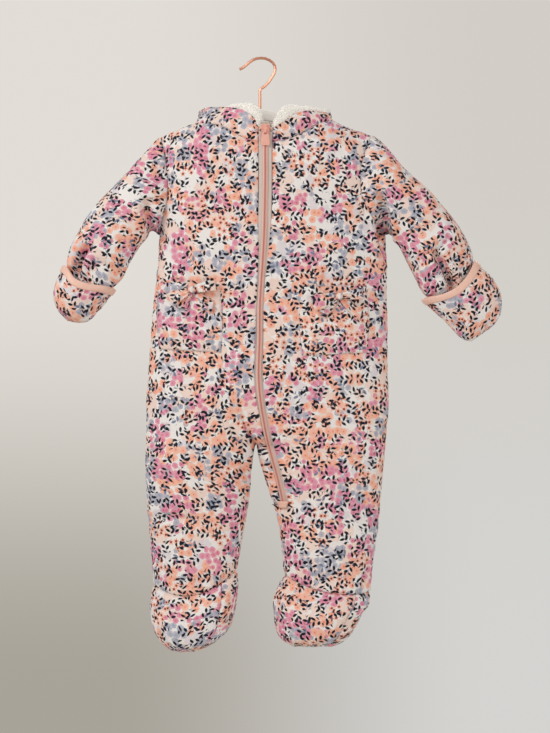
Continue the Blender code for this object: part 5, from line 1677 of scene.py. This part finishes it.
# where along a tuft its two rings lie and how wide they are
TUFT_RINGS = ((0, 0.42), (0.55, 0.28))
THIRDS = (0, 2.094, 4.189)
# the faces of a tuft: its two rings of three points and its tip
TUFT_FACES = (
    (0, 1, 4), (0, 4, 3), (1, 2, 5), (1, 5, 4), (2, 0, 3), (2, 3, 5),
    (3, 4, 6), (4, 5, 6), (5, 3, 6), (0, 2, 1),
)
TUFT_POINTS = 7
TUFT_SAG = 0.03


def tufts(name, cloth, count, seed):
    """Thin bent tufts of pile over a cloth's outer face and its edge."""
    chance = np.random.default_rng(seed)
    corners = cloth.outer[cloth.quads]
    size = np.linalg.norm(facing(cloth.outer, cloth.quads), axis=1)
    edge = np.minimum(cloth.from_rim[cloth.quads].mean(axis=1), PILE_DEEPEST)
    size = size * np.exp(-edge / PILE_FADE)
    pick = chance.choice(len(size), count, p=size / size.sum())
    u, v = chance.uniform(0, 1, (2, count, 1))
    a, b, c, d = (corners[pick, k] for k in range(4))
    root = (a * (1 - u) + d * u) * (1 - v) + (b * (1 - u) + c * u) * v
    up = cloth.normals[cloth.quads[pick, 0]]
    over = np.clip(1 - edge[pick] / PILE_OVER, 0, 1)[:, None]
    lean = chance.normal(0, LEAN_APART, (count, 3))
    comb = np.stack([ripple(root[:, k], root[:, 2], 9, seed + k) for k in range(3)], 1)
    way = unit(up * (1 - 0.3 * over) + lean + comb * LEAN_TOGETHER + np.array([0, 0, -HANG]))
    side = unit(np.cross(way, chance.normal(0, 1, (count, 3))))
    third = np.cross(way, side)
    long = TUFT_LENGTH * chance.uniform(0.6, 1.15, (count, 1))
    root = root - up * TUFT_ROOT
    rings = []
    for share, wide in TUFT_RINGS:
        middle = root + way * long * share
        middle[:, 2] -= (share * long[:, 0]) ** 2 * TUFT_SAG
        for turn in THIRDS:
            rings.append(middle + (side * math.cos(turn) + third * math.sin(turn)) * wide)
    tip = root + way * long
    tip[:, 2] -= long[:, 0] ** 2 * TUFT_SAG
    points = np.stack([*rings, tip], 1)
    faces = np.arange(count)[:, None, None] * TUFT_POINTS + np.array(TUFT_FACES)
    # a tuft's third place counts from its root, 0, to its tip, 5
    places = np.zeros((count, TUFT_POINTS, 3))
    places[:, 3:6, 2] = 2.5
    places[:, 6, 2] = 5
    fur = new_piece(name, points, faces.reshape(-1, 3).tolist(), places, pile_fur)
    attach(fur, "suit")
    return fur


linings = {}
for side, seed in (("right", 17), ("left", 18)):
    half = SEWN["hood_" + side]
    numbers = half.nets[0]
    stations = hood_stations(side)[1]
    first = along(LINING_FROM[side], "row", stations) / LINING_ROWS * HOOD_ROWS
    curves = half.points[numbers]
    normals = half.normals[numbers]
    rows = list(curves - normals * (PADDED_WALL + LINING_GAP))
    walls = [np.full(len(stations), PLUSH_WALL)] * len(rows)
    onward = unit(curves[-1] - curves[-3])
    reach = along(ROLL_REACH[side], "reach", stations)[:, None]
    full = np.clip((reach - 1) / 5, 0, 1)
    for share in np.linspace(0, 1, ROLL_ROWS + 1)[1:]:
        under, thick = columns_at(ROLL_SECTION, share)
        under = UNDER_EDGE + (under - UNDER_EDGE) * full
        rows.append(curves[-1] + onward * reach * share - normals[-1] * under)
        walls.append(PLUSH_WALL + (thick - PLUSH_WALL) * full[:, 0])
    lining = linings[side] = Cloth("plush_hood_" + side, None, None, side == "left", seed)
    lining.grid(rows, first.round().astype(int))
    lining.walls = np.zeros(len(lining.points))
    lining.walls[lining.nets[0]] = np.array(walls)
share_seams(linings.values())
for side, lining in linings.items():
    u, v = lining.places[:, 0], lining.places[:, 1]
    roll = np.clip((lining.walls - 4) / 3, 0, 1)
    lump = ripple(u, v, 11, lining.seed) * 0.9 + ripple(u, v, 5, 3) * 0.5
    lining.outer = lining.points + lining.normals * (lump * (0.3 + 0.7 * roll))[:, None]
    lining.inner = lining.points - lining.normals * (lining.walls + lump * 0.4)[:, None]
    fur = tufts("plush_pile_" + side, lining, TUFTS, 31 + lining.seed)
    hang(lining, "hood_lining_" + side, "plush", plush, pieces=[fur])


# -------------------- zip
# A nylon coil zip: two woven tapes, and peach coils that mesh along a darker line, partly their own colour
# and partly painted shade of the gap between them.
# It runs from the neck down the front and on down the left leg.
TAPE_CLOTH = 1.0
TAPE_SUNK = 1.5
COIL_HALF = 3.1
COIL_PITCH = 1.5
COIL_OUT = 1.5
COIL_RAISE = 0.9
COIL_BASE = 0.8
COIL_SLIM = 0.97

tape_cloth = Finish("zip tape", (0.79, 0.75, 0.715), 0.8, 0.15)
twill = ((tape_cloth.across + tape_cloth.down * 0.6) / 0.9 * FULL_TURN).maths("SINE")
tape_cloth.raise_by(twill, 0.06)
tape_cloth.tint(tape_cloth.noise(1.6, 3).contrast(1.4), (0.85, 0.78, 0.745), (0.91, 0.845, 0.81))

coil = Finish("peach coil", (0.93, 0.75, 0.68), 0.42)
# within a millimetre of the middle the coils are darker, partly their own colour and partly painted shade of
# the gap where they mesh
coil.tint(coil.seam.under(0.95, 0.7), (0.945, 0.80, 0.75), (0.85, 0.54, 0.50))
coil.raise_by(coil.noise(0.8), 0.1)


def zip_side(side):
    """Points and directions down one edge of the zip: the hood's edge, then the front's."""
    half, front = SEWN["hood_" + side], SEWN["front_" + side]
    hood_numbers = half.nets[0][::-1, 0][:-1]
    numbers = list(front.nets[0][:, -1])
    if side == "right":
        numbers += list(front.nets[2][1:, -1])
    points = np.concatenate([half.points[hood_numbers], front.points[numbers]])
    normals = np.concatenate([half.normals[hood_numbers], front.normals[numbers]])
    return points, normals


zip_right, zip_left = zip_side("right"), zip_side("left")
middle = (zip_right[0] + zip_left[0]) / 2
middle_way = unit(zip_right[1] + zip_left[1])
level = -middle[:, 2] > -trunk_top_left[2] + 0.01
middle[level] = body_point(along(ZIP, "x", -middle[level, 2]), -middle[level, 2], "front")


def zip_line(reach):
    """A line down the zip at a distance from its middle: right is less than 0."""
    edge = zip_right if reach < 0 else zip_left
    share = abs(reach) / ZIP_HALF
    return middle + (edge[0] - middle) * share, unit(middle_way + (edge[1] - middle_way) * share)


def thin_cloth(name, rows, thick, inside=None, flip=False, seed=0):
    """A single layer of cloth, with its face on the rows of points."""
    cloth = Cloth(name, None, inside, flip, seed)
    cloth.grid(rows)
    cloth.settle()
    cloth.outer = cloth.points
    cloth.inner = cloth.points - cloth.normals * thick
    return cloth


# the first point down the zip where each of its parts shows
TAPE_TOP = 24
COIL_TOP = 52
for side, sign in (("right", -1), ("left", 1)):
    rows = []
    for reach in (7.7, 6.2, 4.6, 3.0, 1.2, 0.06):
        points, way = zip_line(sign * reach)
        rows.append((points - way * TAPE_SUNK)[TAPE_TOP:])
    rows = np.swapaxes(np.array(rows), 0, 1)
    tape = thin_cloth("woven_tape_" + side, rows, TAPE_CLOTH, INSIDE_TRUNK)
    rise = ripple(tape.places[:, 1], tape.places[:, 1] * 0, 23, 7) * 0.25
    tape.outer = tape.points + tape.normals * rise[:, None]
    tape.inner = tape.outer - tape.normals * TAPE_CLOTH
    hang(tape, "zip_tape_" + side, "tape", tape_cloth)


BEAD = bmesh.new()
bmesh.ops.create_icosphere(BEAD, subdivisions=1, radius=1)
BEAD_POINTS = np.array([v.co[:] for v in BEAD.verts])
BEAD_FACES = np.array([[v.index for v in f.verts] for f in BEAD.faces])
BEAD.free()
BEAD_POINTS /= np.abs(BEAD_POINTS) ** 1.5 @ np.ones((3, 1)) + 0.0001


def beads(name, finish, spots, ways, sides, ups, half, place=0):
    """Small rounded studs at spots, each with its own way, side and up directions."""
    local = BEAD_POINTS * np.array(half)
    points = spots[:, None]
    for reach, axis in zip(local.T, (ways, sides, ups)):
        points = points + reach[None, :, None] * axis[:, None]
    faces = np.arange(len(spots))[:, None, None] * len(BEAD_POINTS) + BEAD_FACES
    places = np.zeros(points.shape)
    if place:
        places[..., 2] = np.abs(place + local[:, 1])
    return new_piece(name, points, faces.reshape(-1, 3).tolist(), places, finish)


def even_steps(points, ways, pitch):
    """Spots at an even pitch along a line, with the way of the line and its up direction."""
    length = run_of(points)
    at = np.arange(pitch / 2, length[-1], pitch)
    spots = read_points(at, length, points)
    onward = read_points(at + 0.5, length, points) - spots
    onward = np.where(np.linalg.norm(onward, axis=1, keepdims=True) > 0.01, onward, np.roll(onward, 1, 0))
    return spots, unit(onward), unit(read_points(at, length, ways))


rows = []
for reach in np.linspace(-COIL_HALF, COIL_HALF, 7):
    points, way = zip_line(reach)
    rows.append((points - way * (TAPE_SUNK - COIL_RAISE))[COIL_TOP:])
chain = thin_cloth("zip_chain_tape", np.swapaxes(np.array(rows), 0, 1), COIL_BASE, INSIDE_TRUNK)
# the distance from the middle, by which the coil's colour is painted darker at the meshing line
chain.from_rim = np.abs(chain.places[:, 0])
chain_piece = chain.make(coil)
points, way = zip_line(0.001)
spots, onward, ups = even_steps(points[COIL_TOP:], way[COIL_TOP:], COIL_PITCH)
studs = []
# each coil's turns lie half a pitch on from those of the other
for sign, name in ((-1, "zip_coil_right"), (1, "zip_coil_left")):
    sides = np.cross(onward, ups) * sign
    centre = spots + sides * COIL_OUT - ups * (TAPE_SUNK - 1.35) + onward * (0.25 * sign * COIL_PITCH)
    half = (0.55, COIL_OUT, 0.75)
    studs.append(beads(name, coil, centre, onward * COIL_SLIM, sides, ups, half, COIL_OUT))
for piece in [chain_piece, *studs]:
    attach(piece, "suit")
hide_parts("zip_chain")


# -------------------- peach satin trims
# Soft satin strips: the edge of each mitten, the folded guard over the top of the
# zip, and the bar tack at its foot.
BINDING_WIDTH = 7.6
SATIN_CLOTH = 0.9
# how high the binding lies over the mitten at each distance from its edge
BINDING_RISE = ((1.0, 0.95), (2.8, 1.15), (4.6, 1.15), (6.0, 1.1), (7.0, 0.9), (BINDING_WIDTH, 0.45))
satin = Finish("peach satin", (0.965, 0.765, 0.67), 0.42, 0.25, 0.35)
satin.tint(satin.noise(6).contrast(0.9), (0.955, 0.76, 0.685), (0.98, 0.825, 0.755))
streaks = satin.noise(1.1, 3, across=satin.across / 3) * 0.5
satin.raise_by(streaks + satin.noise(9) * 2, 0.22)
thread = Finish("peach thread", (0.93, 0.69, 0.60), 0.6, 0.2)
thread.raise_by((thread.seam * 9).maths("SINE"), 0.05)


def sew(name, points, ways, length=2.2, gap=0.9, thick=0.26):
    """A row of stitches along a line."""
    spots, onward, ups = even_steps(points, ways, length + gap)
    half = (length / 2, thick, thick)
    row = beads(name, thread, spots + ups * (thick * 0.4), onward, np.cross(onward, ups), ups, half)
    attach(row, "suit")
    return row


for side in ("right", "left"):
    leaf = SEWN["mitten_front_" + side]
    numbers = leaf.nets[0]
    edge, ways = leaf.points[numbers[0]], leaf.normals[numbers[0]]
    onward = unit(leaf.points[numbers[2]] - edge)

    def on_leaf(reach):
        """Points on the mitten's face at a distance from its open edge, with directions."""
        points, up = np.empty_like(edge), np.empty_like(edge)
        for j, column in enumerate(numbers.T):
            depth = run_of(leaf.points[column])
            points[j] = read_points(reach, depth, leaf.points[column])
            up[j] = read_points(reach, depth, leaf.normals[column])
        return points, unit(up)

    rows = [
        edge - ways * (MITTEN_WALL + 0.5) + onward * 2.5,
        edge - ways * (MITTEN_WALL + 0.5) - onward * 0.4,
        edge - ways * (MITTEN_WALL - 0.4) - onward * 1.2,
        edge - ways * MITTEN_WALL * 0.4 - onward * 1.4,
        edge + ways * 0.2 - onward * 1.1,
        edge + ways * 0.6 - onward * 0.3,
    ]
    s = np.linspace(0, 1, len(edge))
    for reach, rise in BINDING_RISE:
        points, up = on_leaf(reach)
        wave = ripple(s * 60, s * 0 + reach / 9, 8, 40) * 0.25
        rows.append(points + up * (rise + wave)[:, None])
    inside = leaf.points[numbers[-8]].mean(axis=0)
    band = thin_cloth("binding_mitten_" + side, rows, SATIN_CLOTH, inside)
    points, up = on_leaf(6.5)
    seam_row = sew("stitches_mitten_" + side, points + up * 1.05, up)
    hang(band, "mitten_binding_" + side, "binding", satin, pieces=[seam_row])

GUARD_LINE = table(
    "x top foot", (-1.2, 84.0, 87.6), (2.8, 81.9, 85.6), (6.8, 79.7, 83.4), (11, 81.9, 85.8),
    (15.2, 84.6, 88.2),
)
GUARD_Y = -28.7
rows = []
for share in np.linspace(0, 1, 7):
    x = np.linspace(GUARD_LINE["x"][0], GUARD_LINE["x"][-1], 21)
    top, foot = along(GUARD_LINE, "top", x), along(GUARD_LINE, "foot", x)
    y = np.full(21, GUARD_Y - 0.9 * math.sin(math.pi * share))
    rows.append(np.stack([x, y, -(top + (foot - top) * share)], 1))
guard = thin_cloth("zip_guard_fold", rows, 1.2, (6.8, 0, -84))
hang(guard, "zip_guard", "binding", satin)

TACK_X = value_at(ZIP, "x", ZIP_END) - 1.5
TACK_HALF = 6.5
TACK_LONG = 8.5
rows = []
for share in np.linspace(0, 1, 6):
    half_wide = TACK_HALF - 2.4 * share
    x = TACK_X + np.linspace(-half_wide, half_wide, 9)
    level = np.full(9, ZIP_END - 5 + TACK_LONG * share)
    high = 1.9 + 0.5 * math.sin(math.pi * share)
    rows.append(body_point(x, level, "front") + np.array([0, -high, 0]))
tack = thin_cloth("zip_foot_tack", rows, 1.3, INSIDE_TRUNK)
bars = []
for i in (1, 2, 4):
    line = tack.nets[0][i]
    bar = sew("stitches_tack_%d" % i, tack.points[line], tack.normals[line], 1.0, 0.2, 0.35)
    bars.append(bar)
hang(tack, "zip_tack", "binding", satin, pieces=bars)


# -------------------- pockets
# A patch pocket on each hip, of the same print: hemmed on top, sewn down at its
# sides and foot, and a little slack over the belly.
POCKET = {
    "right": table(
        "at out_x out_down in_x in_down",
        (0, -121, 268, -48, 271), (0.5, -123, 309, -44, 311), (1, -120, 348, -46, 352),
    ),
    "left": table(
        "at out_x out_down in_x in_down",
        (0, 126, 272, 50, 274), (0.5, 130, 312, 47, 313), (1, 128, 352, 50, 356),
    ),
}
POCKET_WALL = 1.2
POCKET_NET = 40
HEM_ROW = 7
POCKET_PUFF = 3.0


def body_out(x, down):
    """The outward direction of the front at x and down."""
    x, down = np.asarray(x, float), np.asarray(down, float)
    beside = body_point(x + 1, down, "front") - body_point(x - 1, down, "front")
    below = body_point(x, down + 1, "front") - body_point(x, down - 1, "front")
    way = np.cross(beside, below)
    return unit(way * -np.sign(way[..., 1:2]))


for side, seed in (("right", 21), ("left", 22)):
    across, down = np.meshgrid(np.linspace(0, 1, POCKET_NET + 1), np.linspace(0, 1, POCKET_NET + 1))
    sides = POCKET[side]
    out_x, out_down, in_x, in_down = (along(sides, column, down) for column in list(sides)[1:])
    x = out_x + (in_x - out_x) * across
    low = out_down + (in_down - out_down) * across
    edge = np.minimum(1, np.minimum(across, 1 - across) / 0.22)
    foot = np.minimum(1, (1 - down) / 0.25)
    stand = 0.3 + POCKET_PUFF * np.sin(edge * np.pi / 2) * np.sin(foot * np.pi / 2) + POCKET_WALL
    # slack folds that run in from the bow and beside the inner edge
    stand += 0.8 * np.sin(across * 9 + down * 5) * np.exp(-down * 3.2) * edge
    stand -= 1.3 * np.exp(-(((across - 0.87) / 0.035) ** 2)) * np.clip(down * 3, 0, 1)
    stand -= 0.8 * np.exp(-(((down - 0.17) / 0.02) ** 2))
    stand += ripple(across * 70, down * 80, 21, seed) * 0.9 * edge * foot
    patch = Cloth("floral_pocket_" + side, None, INSIDE_TRUNK, seed=seed)
    patch.grid(body_point(x, low, "front") + body_out(x, low) * stand[..., None])
    patch.settle()
    patch.shape(POCKET_WALL, 0.5, 0.2, 0.7)
    net = patch.nets[0]
    lines = {"foot": net[-2, 1:-1], "inner": net[1:-1, -2], "outer": net[1:-1, 1], "hem": net[HEM_ROW, 1:-1]}
    rows = []
    for name, line in lines.items():
        name = "stitches_pocket_%s_%s" % (name, side)
        rows.append(sew(name, patch.outer[line], patch.normals[line], thick=0.2))
    hang(patch, "pocket_" + side, "floral", floral, pieces=rows)


# -------------------- bows
# A bow of the print is tacked to the top of each pocket: two loops, two tails
# and a wrapped knot, all of one soft tube pressed flat.
BOW_AT = {"right": (-79.0, 277.0), "left": (92.5, 285.0)}
BOW_PARTS = (
    # side, piece, turn, length, width
    ("right", "loop_inner", -10, 27, 12),
    ("right", "loop_outer", 152, 28, 16),
    ("right", "tail_inner", 42, 32, 10),
    ("right", "tail_outer", 120, 25, 11),
    ("left", "loop_inner", 164, 32, 18),
    ("left", "loop_outer", -8, 28, 13),
    ("left", "tail_inner", 134, 27, 10),
    ("left", "tail_outer", 43, 35, 12),
)
LOOP_WAY = table(
    "at out high wide",
    (0, 0, 2.2, 0.4), (1, 0.45, 1.6, 0.8), (2, 0.75, 1.6, 1), (3, 0.93, 2.1, 1), (4, 1, 3.9, 1),
    (5, 0.93, 5.8, 1), (6, 0.75, 6.6, 1), (7, 0.45, 6.2, 0.8), (8, 0, 4.8, 0.4),
)
TAIL_WAY = table(
    "at out high wide", (0, 0, 1.7, 0.5), (1, 0.45, 1.7, 0.8), (2, 0.7, 1.9, 0.95), (3, 1, 1.5, 1.1),
)
BOW_CLOTH = 1.2
BOW_COLS = 14
POCKET_STEP = 4.6
LOOP_CLEAR = 4.2


def bow_point(side, x, down, height):
    """A point over the front at a bow: the cloth under it steps up onto the pocket."""
    top = float(POCKET[side]["out_down"][0])
    lift = 0.3 + POCKET_STEP * smooth_step((down - top + 6) / 6) + height
    return body_point(x, down, "front") + body_out(x, down) * lift[..., None]


for number, (side, piece, turn, length, width) in enumerate(BOW_PARTS):
    x0, down0 = BOW_AT[side]
    turn = math.radians(turn)
    way = LOOP_WAY if "loop" in piece else TAIL_WAY
    last = way["at"][-1]
    rows = []
    share = np.linspace(-0.5, 0.5, BOW_COLS + 1)
    for at in np.linspace(0, last, 34 if "loop" in piece else 18):
        out, high, wide = columns_at(way, at)
        reach = max(out, LOOP_CLEAR / length)
        across = share * width * wide
        # pleats run out from the knot, and a tail is cut slanted at its end
        pleat = np.cos(share * 17 + number) * 1.25 * max(0, 1 - reach * 0.9)
        belly = (0.25 - share**2) * 2.2 * math.sin(math.pi * min(1, reach))
        cut = share * 0.22 * (reach if "tail" in piece else 0)
        x = x0 + (reach + cut) * length * math.cos(turn) - across * math.sin(turn)
        down = down0 + (reach + cut) * length * math.sin(turn) + across * math.cos(turn)
        over = 1 if "tail" in piece or at > last / 2 else -0.3
        rows.append(bow_point(side, x, down, high + pleat + belly * over))
    flip = np.cross(rows[1][0] - rows[0][0], rows[0][1] - rows[0][0])[1] < 0
    name = "bow_" + piece + "_" + side
    flip = flip if "loop" in piece else not flip
    cloth = thin_cloth("floral_" + name, rows, BOW_CLOTH, flip=flip, seed=24 + number)
    hang(cloth, name, "floral", floral)

KNOT_HALF = (4.4, 4.2, 4.0)
KNOT_CLOTH = 1.1
for side, (x, down) in BOW_AT.items():
    centre = bow_point(side, np.array(x), np.array(down), np.array(4.4))
    turn, tall = np.meshgrid(np.linspace(0, 2 * math.pi, 33), np.linspace(-1, 1, 15))
    around = np.sqrt(np.clip(1 - (np.abs(tall) * 0.86) ** 3.5, 0, 1))
    around = around * (1 + 0.07 * np.cos(7 * turn + 3 * tall))
    wide, thick, high = KNOT_HALF
    rows = [
        centre[0] + wide * around * np.cos(turn),
        centre[1] + thick * around * np.sin(turn),
        centre[2] + high * tall + 0.3 * np.cos(turn * 3),
    ]
    knot = thin_cloth("floral_bow_knot_" + side, np.stack(rows, -1), KNOT_CLOTH, centre, seed=33)
    hang(knot, "bow_knot_" + side, "floral", floral)


# -------------------- slider and pull
# The slider is cast and painted peach. Its pull is a soft moulded tab, with a
# window at the bridge and three small raised dots, and it swings on the bridge.
PIVOT_DOWN = 87.6
PIVOT_Y = -36.5
SLIDER_X = value_at(ZIP, "x", 90)
DOTS_Y = PIVOT_Y - 0.85
rubber = Finish("peach pull", (0.975, 0.73, 0.66), 0.45, of_cloth=False)
grain = rubber.noise(0.9, 3)
rubber.raise_by(grain, 0.12)
rubber.tint(grain, (0.965, 0.70, 0.63), (0.985, 0.75, 0.685))


def finish_solid(node, finish):
    """Gives a solid that stays in sight its finish."""
    for slot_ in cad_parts[node].material_slots:
        slot_.material = finish.material


finish_solid("zip_slider", rubber)
finish_solid("zip_pull", rubber)
spots = [(SLIDER_X + x, DOTS_Y, -(PIVOT_DOWN + down)) for x, down in ((-2.2, 15.2), (0, 15.8), (2.2, 15.2))]
ways, sides, ups = (np.array([way] * 3) for way in ((1, 0, 0), (0, 0, 1), (0, -1, 0)))
dots = beads("pull_dots", rubber, np.array(spots), ways, sides, ups, (0.6, 0.6, 0.45))
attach(dots, "pull")


# -------------------- hanger and hook
# The hanger is a flat form flocked in cream, and its hook is a bent wire
# plated in rose gold, flattened at its tip.
flock = Finish("cream flock", (0.92, 0.90, 0.87), 0.95, 0.7, of_cloth=False)
# painted light: a faint glow brightens the flock where the hood's lobes shade it
flock.painted_glow(0.14)
flock.raise_by(flock.noise(0.5, 3), 0.25)
flock.tint(flock.noise(2.5, 4), (0.94, 0.92, 0.89), (0.975, 0.96, 0.94))
finish_solid("hanger_body", flock)

# rubbed along the wire, so its streaks are four times as long as wide
rose = Finish("rose gold wire", (0.90, 0.66, 0.56), 0.22, of_cloth=False)
rose.sockets["Metallic"].default_value = 1.0
rub = rose.noise(1.4, 3, down=rose.down / 4)
rose.drive("Roughness", rub * 0.22 + 0.30)
rose.tint(rub, (0.86, 0.60, 0.50), (0.93, 0.70, 0.60))
finish_solid("hanger_hook", rose)
